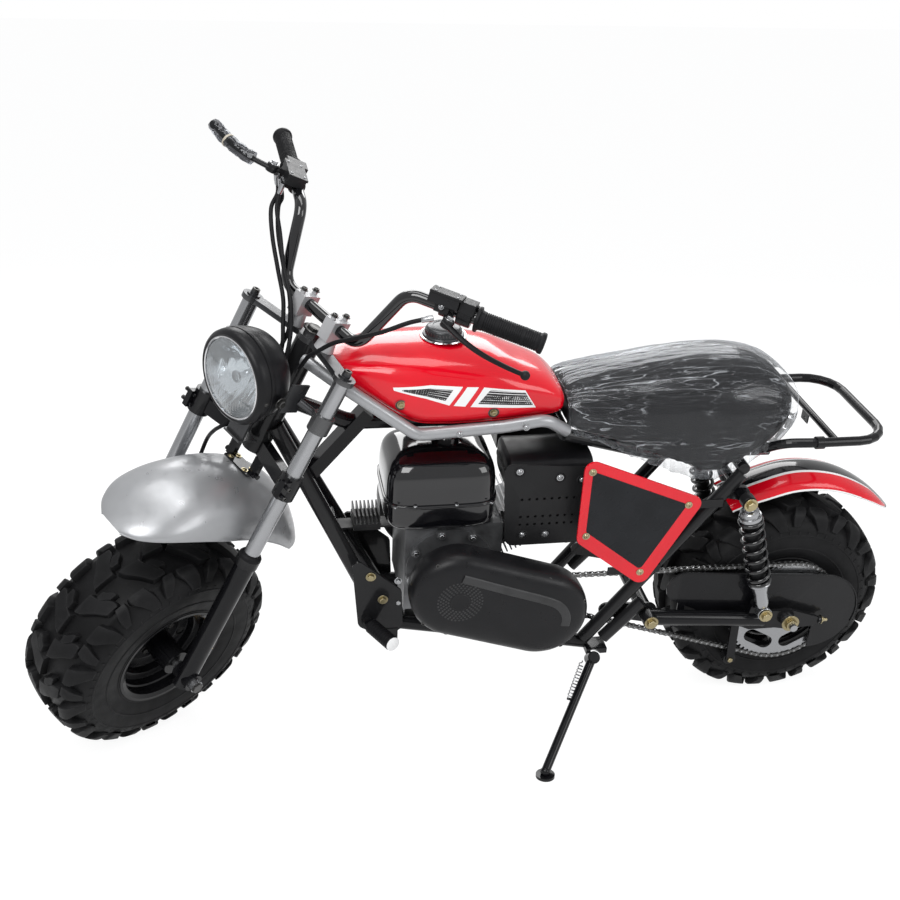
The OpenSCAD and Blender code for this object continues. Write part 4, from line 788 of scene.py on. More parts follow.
def tank_strip(shape, upper, lower, mark=0, steps=28, across=8):
    """Thin panel on the tank's side between two lines of x and z."""
    rows = []
    for i in range(across + 1):
        f = i / across
        row = []
        for k in range(steps + 1):
            t = k / steps * (len(upper) - 1)
            j = min(int(t), len(upper) - 2)
            g = t - j
            a = Vector(upper[j]).lerp(Vector(upper[j + 1]), g)
            b = Vector(lower[j]).lerp(Vector(lower[j + 1]), g)
            q = a.lerp(b, f)
            row.append(tank_side(q.x, q.y, 0.35)[0])
        rows.append(row)
    shape.skin(rows, ring=False, mark=mark)


stripes = Shape()
# A long tapering wedge with two slanted bars behind it, in white with a black core
tank_strip(stripes, [(188, 806), (120, 812), (60, 806)], [(186, 800), (128, 786), (84, 770)], 0)
tank_strip(stripes, [(172, 802.5), (122, 806), (78, 801)], [(170, 799.5), (128, 791), (92, 780)], 1)
tank_strip(stripes, [(52, 805), (30, 803.5)], [(76, 769), (54, 766)], 0)
tank_strip(stripes, [(20, 802.5), (-60, 790)], [(44, 764.5), (-84, 752)], 0)
tank_strip(stripes, [(8, 797), (-60, 786)], [(30, 770), (-78, 758)], 1)
stripes.make("tank_stripes", "frame", [white_paint, stripe_black])

CAP_X = 82
cap = Shape()
cap.turned([(0, 1), (36, 1), (39.5, 2), (40, 4.6), (38.5, 6.2), (36, 6.6), (34.6, 7), (34.2, 9), (33.4, 14.6),
            (32, 17.2), (28.5, 19.4), (22, 20.4), (20.5, 20.6), (19.5, 19.8), (10, 20.6), (0, 20.8)],
           (CAP_X, 0, TANK_TOP + 1.3), UP, 72)
for a in circle(36):
    cap.box((CAP_X + 34 * cos(a), 34 * sin(a), TANK_TOP + 11.6), (1.6, 2.2, 6.6), turn(degrees(a), "Z"))
cap.make("fuel_cap", "frame", [gunmetal], stands_for=["tank_cap"], slot="bright_steel", bevel=0.3)
ring = Shape()
ring.turned([(37.5, 0.4), (43.5, 0.4), (44.6, 1.8), (43.6, 3.6), (40.6, 4.2), (37.5, 3.2)],
            (CAP_X, 0, TANK_TOP + 0.5), UP, 72, caps=False)
ring.make("fuel_cap_ring", "frame", chrome)


# Seat: a padded cushion under vinyl, blown up a little by the cloth solver, then its film and its piping
SEAT = [[-153, 84, 690, 722, SEAT_TOP - 54], [-172, 92, 680, 716, SEAT_TOP - 42],
        [-220, 99, 664, 708, SEAT_TOP - 31], [-290, 107, 628, 700, SEAT_TOP - 19],
        [-370, 114, 594, 694, SEAT_TOP - 7], [-450, SEAT_HALF, 568, 690, SEAT_TOP],
        [-515, SEAT_HALF - 3, 596, 690, SEAT_TOP - 3], [-570, 106, 640, 700, SEAT_TOP - 18],
        [-606, 88, 676, 712, SEAT_TOP - 42], [-620, 62, 696, 722, SEAT_TOP - 62]]
SEAT_POWERS = (2.7, 4.2)
UNDERSIDE = [(-140, 702), (-150, 699), (-330, 649), (-575, 647.4), (-700, 680)]
STAY_TOP, STAY_LOW = Vector((-507, 124, 605)), Vector((-221, 124, 222))
RACK_FEET = [Vector((-552, 86, 634)), Vector((-584, 122, 668)), Vector((-640, 140, 676))]
RAIL_END = [Vector((-104, 102, 730)), Vector((-160, 84, 691))]


def underside(x):
    for (x0, z0), (x1, z1) in zip(UNDERSIDE, UNDERSIDE[1:]):
        if x >= x1:
            return z0 + (z1 - z0) * (x0 - x) / (x0 - x1)
    return UNDERSIDE[-1][1]


def kept_out(p, a, b, r):
    """p moved out of the round bar from a to b."""
    d = b - a
    f = max(0.0, min(1.0, (p - a).dot(d) / d.length_squared))
    q = p - (a + d * f)
    if q.length < r and q.length > 1e-6:
        return a + d * f + q.normalized() * r
    return p


def clear_of_frame(p):
    """Seat's point kept clear of the rails, stays and rack feet under it."""
    if abs(p.y) < 96:
        p.z = max(p.z, underside(p.x) + 0.8)
    q = Vector((p.x, abs(p.y), p.z))
    q = kept_out(q, STAY_TOP, STAY_LOW, 15.0)
    for a, b in zip(RACK_FEET, RACK_FEET[1:]):
        q = kept_out(q, a, b, 11.4)
    q = kept_out(q, *RAIL_END, 13.6)
    return Vector((q.x, copysign(q.y, p.y), q.z))


def slim(table, side, end):
    """The same sections drawn in by side, and their ends by end."""
    x0 = (table[0][0] + table[-1][0]) / 2
    out = []
    for s in table:
        x = s[0] - copysign(end, s[0] - x0) * min(1, abs(s[0] - x0) / 200)
        out.append([x, s[1] - side, s[2] + side * 0.6, s[3], s[4] - side])
    return out


def apply_modifiers(o):
    """Makes what the modifiers give the piece's own mesh."""
    graph = bpy.context.evaluated_depsgraph_get()
    mesh = bpy.data.meshes.new_from_object(o.evaluated_get(graph))
    o.modifiers.clear()
    o.data = mesh


VOXEL = 0.006
CLOTH_FRAMES = 20
PRESSURE = 4.0
MOST_SWELLING = 0.009


def seat_cushion():
    """The seat's solid core, blown up by the cloth solver."""
    core = Shape()
    core.skin([[clear_of_frame(p) for p in row] for row in body_rows(slim(SEAT, 6, 3), 6, 64, SEAT_POWERS)])
    o = core.make("seat_cushion", "frame", vinyl, stands_for=["seat"], slot="seat_vinyl", crease=180)
    inverse = MACHINE.inverted()
    mod = o.modifiers.new("remesh", "REMESH")
    mod.mode = "VOXEL"
    mod.voxel_size = VOXEL
    apply_modifiers(o)
    start = [v.co.copy() for v in o.data.vertices]
    held = o.vertex_groups.new(name="held")
    for v in o.data.vertices:
        p = inverse @ (v.co / MM)
        if p.z < underside(p.x) + 9:
            held.add([v.index], 1.0, "REPLACE")
    cloth = o.modifiers.new("cloth", "CLOTH")
    s = cloth.settings
    s.quality = 5
    s.mass = 0.3
    s.tension_stiffness = s.compression_stiffness = 15
    s.shear_stiffness = 5
    s.bending_stiffness = 0.5
    s.use_pressure = True
    s.uniform_pressure_force = PRESSURE
    s.vertex_group_mass = "held"
    s.effector_weights.gravity = 0
    cloth.collision_settings.use_collision = False
    cloth.collision_settings.use_self_collision = False
    cloth.point_cache.frame_start = 1
    cloth.point_cache.frame_end = CLOTH_FRAMES
    for f in range(1, CLOTH_FRAMES + 1):
        bpy.context.scene.frame_set(f)
    swollen = [v.co.copy() for v in o.evaluated_get(bpy.context.evaluated_depsgraph_get()).data.vertices]
    o.modifiers.remove(cloth)
    bpy.context.scene.frame_set(1)
    for v, a, b in zip(o.data.vertices, start, swollen):
        d = b - a
        v.co = a + d * min(1, MOST_SWELLING / max(d.length, 1e-9))
    mod = o.modifiers.new("smooth", "SMOOTH")
    mod.factor = 0.5
    mod.iterations = 4
    apply_modifiers(o)
    for v in o.data.vertices:
        v.co = (MACHINE @ clear_of_frame(inverse @ (v.co / MM))) * MM
    for p in o.data.polygons:
        p.use_smooth = True
    mod = o.modifiers.new("subdivision", "SUBSURF")
    mod.levels = mod.render_levels = 1
    return o


# The film stays this far off the cushion's form
LEAST_LIFT = 3.4


def film_over_seat():
    """Clear plastic pulled over the seat: long folds from its front corners, puckers under its sides."""
    rings, sides = 22, 150
    low, high = radians(-66), radians(246)
    count = (len(SEAT) - 1) * rings
    base = [[squared(catmull(SEAT, k / rings), low + (high - low) * j / sides, SEAT_POWERS)
             for j in range(sides + 1)] for k in range(count + 1)]

    def ridge(x, sharp):
        """Row of folds, one for each whole number, the narrower the sharper."""
        return max(0.0, 1 - abs(x - floor(x) - 0.5) * 2) ** sharp

    out = []
    for k in range(count + 1):
        u = k / count
        line = []
        for j in range(sides + 1):
            p = base[k][j]
            du = base[min(k + 1, count)][j] - base[max(k - 1, 0)][j]
            dv = base[k][min(j + 1, sides)] - base[k][max(j - 1, 0)]
            n = dv.cross(du)
            n = n.normalized() if n.length > 1e-6 else Vector((0, 0, 1))
            if n.dot(p - Vector((p.x, 0, 690))) < 0:
                n = -n
            q = (j / sides - 0.5) * 2
            side = abs(q)
            near = noise.noise(Vector((u * 2.6, q * 3.1, 4.0)))
            broad = noise.noise(Vector((u * 5.0, q * 4.0, 9.0)))
            # Long folds that fan out from the front upper corners
            fan = q * (5.5 - 2.2 * u) + 0.55 * near + 0.25 * broad
            top = ridge(fan, 5) * (0.5 + 0.5 * broad) * max(0.0, 1 - abs(side - 0.40) / 0.34)
            fine = ridge(fan * 2.7 + 0.3 * broad, 4) * max(0.0, 1 - abs(side - 0.36) / 0.3)
            # Puckers from the tucked hem, slanting forward
            hem = max(0.0, (side - 0.52) / 0.48)
            pull = ridge(u * 15 + side * 2.4 + 1.1 * near, 4) * hem ** 0.7
            crumple = noise.noise(Vector((p.x / 34, p.y / 26, p.z / 30))) * (0.4 + 1.0 * hem)
            loose = 5.0 * max(0.0, (u - 0.86) / 0.14) * (0.6 + 0.6 * broad)
            lift = 4.6 + 3.6 * top + 1.5 * fine + 4.2 * pull + 1.5 * crumple + loose
            r = p + n * max(LEAST_LIFT, lift)
            if side > 0.8:
                r = clear_of_frame(r)
            line.append(r)
        out.append(line)
    shape = Shape()
    shape.skin(out, ring=False)
    o = shape.make("seat_cover_film", "frame", clear_film, crease=60)


cushion = seat_cushion()
film_over_seat()
trim = Shape()
front = [squared(catmull(SEAT, 0.08), radians(a), SEAT_POWERS) + Vector((1.5, 0, 0))
         for a in range(-48, 230, 4)]
trim.tube(front, 2.6, 10)
for side in (1, -1):
    edge = []
    for k in range(3, 8 * 9 - 4):
        s = catmull(SEAT, k / 8)
        a = radians(33 + 7 * sin(pi * k / 72))
        p = squared(s, a, SEAT_POWERS)
        edge.append(Vector((p.x, side * (p.y - 2.4), p.z - 1.6)))
    trim.tube(edge, 2.4, 10)
trim.make("seat_piping", "frame", vinyl, slot="seat_vinyl")


# Fenders: thin arched sheets with coloured bands and a rolled edge. A row of the table has the place round
# the wheel in degrees, the radius, the half width and the sagging of the sides
FENDER_REAR_R, FENDER_FRONT_R = 308, 280


def fender(name, body, frame, node, table, slot, materials, band=None, rings=8, sides=56, t=3.0):
    count = (len(table) - 1) * rings

    def spot(s, a, inset):
        r = s[1] - inset - (s[3] - inset) * (1 - cos(a))
        c = radians(s[0])
        return Vector((r * cos(c), (s[2] - inset) * sin(a), r * sin(c)))

    rows, edges = [], ([], [])
    for k in range(count + 1):
        s = catmull(table, k / rings)
        turns = [pi * j / sides - pi / 2 for j in range(sides + 1)]
        rows.append([spot(s, a, 0) for a in turns] + [spot(s, a, t) for a in turns[::-1]])
        for e, a in zip(edges, (turns[0], turns[-1])):
            e.append(spot(s, a, 1.4))
    shape = Shape()
    if band:
        shape.skin(rows, mark=lambda k, j: band(k / count,
                                                180 * (j + 0.5) / sides - 90 if j < sides else None))
    else:
        shape.skin(rows)
    for e in edges:
        shape.tube(e, 2.0, 8, mark=len(materials) - 1 if band else 0)
    return shape.make(name, body, materials, frame=frame, stands_for=[node], slot=slot, crease=50)


RED, BLACK, WHITE = 0, 1, 2


def rear_band(along, across):
    """Colour at a part of the length and an angle across the arch: a black band that widens to the tail,
    a white line on each side of it and along the edges. The inner side, without an angle, is black."""
    widening = 30 * max(0.0, along - 0.72) / 0.2
    if across is None or along > 0.93 or abs(across) < 24 + widening:
        return BLACK
    if abs(across) < 27.5 + widening and along < 0.9 or abs(across) > 84 and along < 0.66:
        return WHITE
    return RED


R = FENDER_REAR_R
fender("rear_fender_sheet", "frame", REAR, "rear_fender",
       [[60, R - 22, 54, 24], [76, R - 16, 58, 30], [90, R - 5, 58, 32], [106, R, 58, 28],
        [122, R + 2, 54, 22], [134, R + 4, 38, 14], [141.5, R + 6, 16, 7]],
       "red_paint", [red_paint, stripe_black, white_paint], rear_band)
R = FENDER_FRONT_R
fender("front_fender_sheet", "steering", FORK @ Matrix.Translation((10, 0, 140)), "front_fender",
       [[36, R + 1, 30, 6], [40, R + 1, 62, 16], [48, R, 88, 34], [60, R, 102, 62], [75, R, 106, 88],
        [90, R, 106, 98], [108, R - 1, 106, 96], [124, R - 4, 103, 84], [138, R - 8, 97, 64],
        [146, R - 10, 90, 48]],
       "silver_paint", [silver_paint])
bolts("front_fender_bolts", "steering", zinc,
      [((x, y, 423.2), UP, 4.6, "dome") for x in (-32, -12) for y in (22, -22)], FORK)


# Number plate: red border round a black field, four bolts, nothing written on it
PLATE_BACK, PLATE_FACE = 142.2, 146.6
plate = Shape()
corners = [(-196, 638), (-402, 552), (-318, 392), (-196, 488)]
field = [(-200, 628), (-384, 550), (-313, 415), (-200, 505)]
plate.plate(arc_outline(corners, 20, 10), PLATE_BACK, PLATE_FACE)
plate.plate(arc_outline(field, 7, 8), PLATE_FACE, PLATE_FACE + 0.5, mark=1)
plate.plate(arc_outline(corners, 19.4, 10), PLATE_BACK - 0.3, PLATE_BACK, mark=1)
plate.make("side_plate", "frame", [red_paint, plate_black], stands_for=["number_plate"],
           slot="plate_face", bevel=0.5)
straps = Shape()
for z in (548, 400):
    x = STAY_TOP.x + (STAY_TOP.z - z) * (STAY_LOW.x - STAY_TOP.x) / (STAY_TOP.z - STAY_LOW.z)
    straps.box((x + 49, 140.2, z), (110, 3.4, 18))
straps.make("side_plate_straps", "frame", black_paint, bevel=0.6)
bolts("side_plate_bolts", "frame", zinc, [((x, PLATE_FACE + 0.2, z), LEFT, 5.2, "dome")
                                          for x, z in ((-192, 637), (-396, 552), (-316, 398), (-194, 492))])


# Headlight: shell, bezel, mirrored bowl, bulb and fluted glass, turned about the lamp's own axis
AXIS = Vector(UP)
shell = Shape()
bowl = smooth([(0, -20, 0), (20, -19.4, 0), (40, -16, 0), (58, -8, 0), (72, 5, 0), (80, 19, 0), (85, 34, 0),
               (87, 48, 0)], 5)
bezel = [(88, 50), (88, 55), (86.2, 56.2), (86.2, 57.4), (88, 58.6), (88.2, 66), (87.2, 74), (84, 79),
         (80, 81.4), (76.5, 80.6), (75, 78), (75, 60)]
shell.turned([(p.x, p.y) for p in bowl] + bezel, (0, 0, 0), AXIS, 120, caps=False)
shell.make("headlight_body", "steering", satin_black, frame=HEADLIGHT, stands_for=["headlight_shell"],
           slot="soot_black", crease=32)
ring = Shape()
ring.turned([(75.2, 78.4), (76.4, 80.9), (74.6, 81.9), (73.0, 80.6), (73.2, 78.0)], (0, 0, 0), AXIS, 120,
            caps=False)
ring.make("headlight_rim", "steering", chrome, frame=HEADLIGHT)
MIRROR_R = 74.5
mirror = Shape()
rows = []
for i in range(25):
    r = MIRROR_R * i / 24
    depth = 32 + 44 * (r / MIRROR_R) ** 2
    fluted = 1.0 if 10 < r < 72 else 0
    rows.append([(r * cos(a), r * sin(a), depth + fluted * abs(sin(pi * r * sin(a) / 15)))
                 for a in circle(96)])
mirror.skin(rows, caps=False)
mirror.make("headlight_mirror", "steering", reflector, frame=HEADLIGHT, crease=60)
bulb = Shape()
bulb.turned([(0, 34), (7, 34), (7, 46), (5.5, 48), (5.5, 62), (3.4, 65.5), (0, 66.5)], (0, 0, 0), AXIS, 24)
bulb.turned([(0, 64), (11, 64), (12, 66), (11, 68.5), (0, 70)], (0, 0, 0), AXIS, 32)
bulb.make("headlight_bulb", "steering", chrome, frame=HEADLIGHT)
lens = Shape()
dome = smooth([(0, 90, 0), (32, 89, 0), (50, 87, 0), (64, 83.6, 0), (73, 79.6, 0)], 8)
rows = []
for p in dome:
    rows.append([])
    for a in circle(144):
        x, y = p.x * cos(a), p.x * sin(a)
        flute = 0.9 * abs(cos(pi * y / 6.4)) if p.x < 70 else 0
        belt = 0.8 if abs(x) < 16 and p.x < 70 else 0
        rows[-1].append((x, y, p.y - flute + belt - 0.4))
lens.skin(rows, caps=False)
lens.make("headlight_glass", "steering", lamp_glass, frame=HEADLIGHT, stands_for=["headlight_lens"],
          slot="lens_glass", crease=50)
heads = []
for side in (1, -1):
    heads += [((0, side * 94, 40), (0, side, 0), 7.5), ((0, side * 87.6, 66), (0, side, 0.1), 3, "dome")]
bolts("headlight_bolts", "steering", chain_steel, heads, HEADLIGHT, 0.4)


# Silver rails, handlebar, grips, controls and cables: smooth bent tubes along the construction's points
def on_axis(t):
    return STEER_FOOT + t * Vector((-sin(radians(RAKE)), 0, cos(radians(RAKE))))


HEAD_TOP = 703.7   # top of the head tube along the steering axis
rails = Shape()
for side in (1, -1):
    path = [on_axis(HEAD_TOP - 30) + Vector((-2, 24, 0)), (276, 94, 808), (142, 108, 712), (-20, 108, 722),
            (-104, 102, 730), (-150, 88, 697)]
    rails.tube(bent([mirrored(p, side) for p in path], 45, 10), 12, 28)
rails.make("silver_rails", "frame", silver_paint, stands_for=["side_rails"], slot="silver_paint")
bolts("rail_bolts", "frame", satin_steel, [((x, side * 119.6, z), (0, side, 0), 4.4, "dome")
                                           for side in (1, -1) for x, z in ((64, 716.5), (-62, 725))])

BAR = [Vector((-28, 0, 762)), Vector((-28, 106, 762)), Vector((-27, 148, 900)), Vector((-139, 365, 945))]


def bar_end(side):
    """End of the bar and the way inwards from it."""
    e = mirrored(BAR[3], side)
    return e, (mirrored(BAR[2], side) - e).normalized()


bar = Shape()
bar.tube(bent([mirrored(p, -1) for p in BAR[:0:-1]] + BAR[1:], 38, 10), 11.1, 28)
# The tube's own flat ends give way to the rounded mouths of its bores
bar.faces = bar.faces[:-2]
bar.marks = bar.marks[:-2]
for side in (1, -1):
    e, d = bar_end(side)
    bar.turned([(11.1, 0), (10.4, -0.3), (9.2, -0.2), (8.7, 0.4), (8.7, 30), (0, 30)], e, d, 28, caps=False)
bar.make("bar_tube", "steering", engine_gloss, frame=FORK, stands_for=["handlebar"], slot="black_frame",
         weld=0.02)

GRIP_LEN = 122
for side, name in ((1, "left"), (-1, "right")):
    e, d = bar_end(side)
    grip = Shape()
    profile = [(11.5, -3), (14, -3), (18.2, -2), (19, 0), (19, 4), (17.2, 6.4), (16.3, 8)]
    for k in range(26):
        h = 10 + k * 3.7
        deep = 0.9 if k % 13 != 6 else -0.3
        profile += [(16.6, h), (16.9, h + 1.1), (16.6, h + 2.2), (16.6 - deep, h + 2.6),
                    (16.6 - deep, h + 3.3)]
    profile += [(17, 107), (17.4, 112), (18.6, 114.6), (22.5, 115.6), (22.9, 118.4), (22, 121),
                (18, GRIP_LEN), (11.5, GRIP_LEN)]
    grip.turned(profile, e, d, 56, caps=False)
    grip.make(name + "_grip", "steering", grip_rubber, frame=FORK, slot="grip_rubber",
              stands_for=["grips"] if side > 0 else ())


def lever_set(name, side, root, tip):
    """Perch, brake cylinder with its reservoir, switch box and curved blade beside one grip."""
    flip = Matrix.Scale(side, 4, (0, 1, 0))
    e, d = bar_end(1)
    root, tip = Vector(root), Vector(tip)
    perch = e + d * (GRIP_LEN + 50)
    tilt = d.to_track_quat("X", "Z").to_matrix().to_4x4()
    body = Shape()
    # Switch box: two rounded halves round the bar, with buttons
    body.turned([(11.3, 0), (19, 0), (20.6, 1.4), (20.8, 12), (20.2, 12.8), (20.8, 13.6), (20.8, 24.6),
                 (19, 26), (11.3, 26)], e + d * (GRIP_LEN + 6), d, 40, caps=False)
    body.box(e + d * (GRIP_LEN + 19) + Vector((3, 0, 15)), (27, 40, 20), tilt)
    body.box(e + d * (GRIP_LEN + 19) + Vector((-12, 0, 12)), (20, 12, 16), tilt)
    # Perch clamp with two bolts
    body.turned([(11.3, 0), (16, 0), (17, 1), (17, 25), (16, 26), (11.3, 26)], e + d * (GRIP_LEN + 38), d,
                36, caps=False)
    body.box(perch + Vector((16, -2, 2)), (26, 24, 20), tilt)
    # Reservoir with its lid
    body.box(perch + Vector((18, -4, 15)), (54, 36, 18), tilt)
    body.box(perch + Vector((18, -4, 25.6)), (58, 40, 4.4), tilt)
    body.tube([perch, perch.lerp(root, 0.5), root], 8.5, 16)
    body.turned([(0, -8), (10, -8), (11, -7), (11, 7), (10, 8), (0, 8)], root, (0, 0, 1), 28)
    body.verts = [flip @ v for v in body.verts]
    body.make(name + "_controls", "steering", moulded, frame=FORK, slot="black_engine", bevel=1.6,
              stands_for=["levers"] if side > 0 else ())
    small = Shape()
    for dx, dy in ((20, 13), (-20, 13), (20, -13), (-20, -13)):
        m = Matrix.Translation(perch + Vector((18, -4, 27.9))) @ tilt
        small.bolt(m @ Vector((dx, dy, 0)), tilt.to_3x3() @ Vector((0, 0, 1)), 2.6, "dome", washer=False)
    small.bolt(root + Vector((0, 0, 8)), (0, 0, 1), 6.2, h=5)
    small.bolt(perch + Vector((30, 4, 4)), (1, 0, 0.1), 4, "socket")
    small.verts = [flip @ v for v in small.verts]
    small.make(name + "_control_bolts", "steering", satin_steel, frame=FORK, bevel=0.3)
    blade = Shape()
    bow = Vector((0.10, 0.02, -0.04)) * (tip - root).length
    line = smooth([root - (tip - root) * 0.04, root.lerp(tip, 0.22) + bow * 0.75, root.lerp(tip, 0.5) + bow,
                   root.lerp(tip, 0.78) + bow * 0.6, tip], 8)
    n = len(line)
    rows = []
    for i, p in enumerate(line):
        a, b = line[max(i - 1, 0)], line[min(i + 1, n - 1)]
        t = (b - a).normalized()
        up = (Vector((0, 0, 1)) - t * t.z).normalized()
        out = t.cross(up)
        f = i / (n - 1)
        wide, thick = 9.5 - 4.2 * f, 5.2 - 1.2 * f
        rows.append([p + out * wide * cos(w) * (1 if cos(w) > 0 else 0.7) + up * thick * sin(w)
                     for w in circle(20)])
    blade.skin(rows)
    blade.turned([(0, -8.6), (4, -7.8), (7, -5.2), (8.6, -1.6), (8.6, 1.6), (7, 5.2), (4, 7.8), (0, 8.6)],
                 tip,
                 tip - root, 24)
    blade.verts = [flip @ v for v in blade.verts]
    blade.make(name + "_lever_blade", "steering", satin_black, frame=FORK, slot="black_engine", crease=45)
    return [flip @ p for p in line]


lever_set("left", 1, (-40, 240, 898), (-118, 378, 888))
far_line = lever_set("right", -1, (-12, 238, 925), (28, 376, 932))
# Thin plastic still wound round the right lever, held by a band
sleeve = Shape()
rows = []
part = far_line[8:]
for i, p in enumerate(part):
    a, b = part[max(i - 1, 0)], part[min(i + 1, len(part) - 1)]
    t = (b - a).normalized()
    up = t.orthogonal().normalized()
    out = t.cross(up)
    rows.append([p + (12.5 + 2.6 * noise.noise(Vector((i * 0.55, cos(w) * 1.6, sin(w) * 1.6))))
                 * (cos(w) * out + sin(w) * up) for w in circle(28)])
sleeve.skin(rows, caps=False)
wrap = sleeve.make("lever_wrap_film", "steering", dark_film, frame=FORK, crease=70)
band = Shape()
band.turned([(12.4, -2.4), (13.4, -1.6), (13.6, 0), (13.4, 1.6), (12.4, 2.4)], part[len(part) // 2],
            part[len(part) // 2 + 1] - part[len(part) // 2], 28, caps=False)
band.make("lever_wrap_band", "steering", beige, frame=FORK)

# Routes of the lines: brake hose, throttle cable, wires of the right control and wires of the left one
CABLES = [
    [(-14, -214, 918), (-34, -206, 886), (-26, -196, 868), (-16, -160, 832), (-6, -104, 792), (0, -56, 758),
     (2, -26, 716), (2, -22, 680), (0, -30, 600), (0, -44, 520), (0, -62, 470), (-14, -88, 436),
     (-36, -113, 396), (-45, -117, 340), (-47, -116, 240), (-50, -113, 150), (-50, -112, 96)],
    [(-8, -218, 922), (-27, -214, 890), (-14, -200, 862), (-4, -160, 826), (4, -106, 786), (10, -60, 752),
     (12, -32, 714), (12, -16, 690), (10, -8, 665)],
    [(-20, -206, 912), (-22, -204, 890), (-18, -190, 866), (-10, -150, 836), (2, -98, 796), (8, -48, 762),
     (8, -18, 722), (10, -2, 694), (12, 8, 668)],
    [(-34, 214, 892), (-14, 190, 866), (2, 160, 826), (8, 120, 786), (8, 84, 752), (10, 64, 722),
     (10, 50, 700), (4, 40, 668)]]
cables = Shape()
for route in CABLES:
    cables.tube(smooth(route, 8), 4, 16)
cables.make("control_lines", "steering", grip_rubber, frame=FORK, stands_for=["control_cables"],
            slot="grip_rubber")
ferrules = Shape()
profile = [(4.2, 0), (5.4, 0), (5.4, 12), (4.9, 14), (4.9, 20), (4.2, 21)]
for route in CABLES:
    a, b = Vector(route[0]), Vector(route[1])
    ferrules.turned(profile, a, b - a, 20, caps=False)
a, b = Vector(CABLES[0][-1]), Vector(CABLES[0][-2])
ferrules.turned([(4.2, 0), (6, 0), (6, 14), (4.8, 16), (4.8, 24), (4.2, 25)], a, b - a, 20, caps=False)
ferrules.make("line_ferrules", "steering", satin_steel, frame=FORK)


# Engine: glossy tank, starter, air box, muffler, the screws of the muffler's guard, and a dark plate of
# painted shade behind its holes
def loft_up(rows, mid, half, power, segs=112, steps=5):
    """Rounded box from rows of height and how far its outline lies outside half."""
    out = []
    for k in range((len(rows) - 1) * steps + 1):
        z, q = catmull(rows, k / steps)
        out.append([Vector((mid[0] + (half[0] + q) * copysign(abs(cos(a)) ** (2 / power), cos(a)),
                            mid[1] + (half[1] + q) * copysign(abs(sin(a)) ** (2 / power), sin(a)), z))
                    for a in circle(segs, 0.5)])
    return out


shape = Shape()
# Upper half, lower half and the seam between them: heights, and how far each lies outside the tank's size
for rows, steps in (
        ([(649, -64), (645, -38), (636, -18), (620, -6), (598, -1), (572, 0), (557, 0)], 5),
        ([(549, 0), (530, 0), (512, -0.5), (502, -4), (498, -9)], 5),
        ([(557.5, -2), (556.6, 2.4), (554.6, 3.4), (553.4, 3.0), (552.6, 3.4), (550.4, 3.2), (548.6, 1)], 2)):
    shape.skin(loft_up(rows, (85, 15), (109, 94), 5, steps=steps))
shape.turned([(0, 6), (26, 6), (28, 8), (28, 19), (26, 21.5), (20, 22), (0, 22.6)], (70, 10, 640), AXIS, 48)
shape.make("engine_fuel_tank", "frame", engine_gloss, stands_for=["engine_tank"], slot="black_engine")
heads = [((x, y, 556), UP, 4, "hex", 0, None, False)
         for x, y in ((-8, 110), (60, 111.5), (140, 110), (178, 110))]
heads += [(CRANK + Vector((82 * cos(a), 106, -82 * sin(a))), LEFT, 5) for a in circle(8, 1 / 3)]
heads += [((x, 92.5, z), LEFT, 5.4) for x, z in ((165.7, 373.2), (164.5, 321.5))]
bolts("engine_bolts", "frame", satin_steel, heads, bevel=0.4)

starter = Shape()
at = (CRANK.x, 0, 430)
starter.turned([(0, 85.3), (112, 85.3), (118, 92), (118.6, 120), (117, 150), (112, 166), (106, 173),
                (104, 178), (98, 184), (84, 187), (62, 188), (60, 192), (56, 196), (0, 197)], at, RIGHT, 120)
starter.make("recoil_cover", "frame", satin_black, stands_for=["recoil_starter"], slot="black_engine")
vents = Shape()
for r, h, count, length in ((74, 187.5, 18, 17), (94, 184.4, 26, 11)):
    for a in circle(count):
        vents.box((at[0] + r * cos(a), -h, at[2] + r * sin(a)), (length, 1.6, 4.6), turn(-degrees(a), "Y"))
vents.make("recoil_vents", "frame", tyre_rubber, bevel=0.5)
pull = Shape()
pull.box((CRANK.x + 84, -148, 500), (44, 28, 30))
pull.turned([(0, 0), (7, 0), (8, 2), (8, 10), (6, 12), (0, 12)], (CRANK.x + 84, -162, 500), (0, -1, 0.2),
            24)
pull.make("recoil_handle", "frame", moulded, bevel=4)
heads = [((at[0] + 112.5 * cos(a), -168, at[2] + 112.5 * sin(a)), RIGHT, 5) for a in circle(4, 0.5)]
bolts("recoil_bolts", "frame", satin_steel, heads, bevel=0.4)

air = Shape()
air.box((-120, -112, 609), (130, 72, 76))
air.box((-120, -112, 650.5), (132, 74, 7))
air.box((-120, -147.5, 612), (108, 14, 62))
for k in range(5):
    air.box((-120, -155.4, 590 + 11 * k), (92, 3, 5))
air.box((-172, -100, 640), (30, 24, 8))
air.make("air_box", "frame", moulded, stands_for=["air_cleaner"], slot="black_engine", bevel=4)
clips = Shape()
for x in (-160, -80):
    clips.box((x, -149.5, 646), (14, 3, 18))
    clips.tube([(x - 5, -151.5, 655), (x - 5, -152, 640), (x + 5, -152, 640), (x + 5, -151.5, 655)], 1.1, 8)
clips.make("air_box_clips", "frame", satin_steel, bevel=0.4)

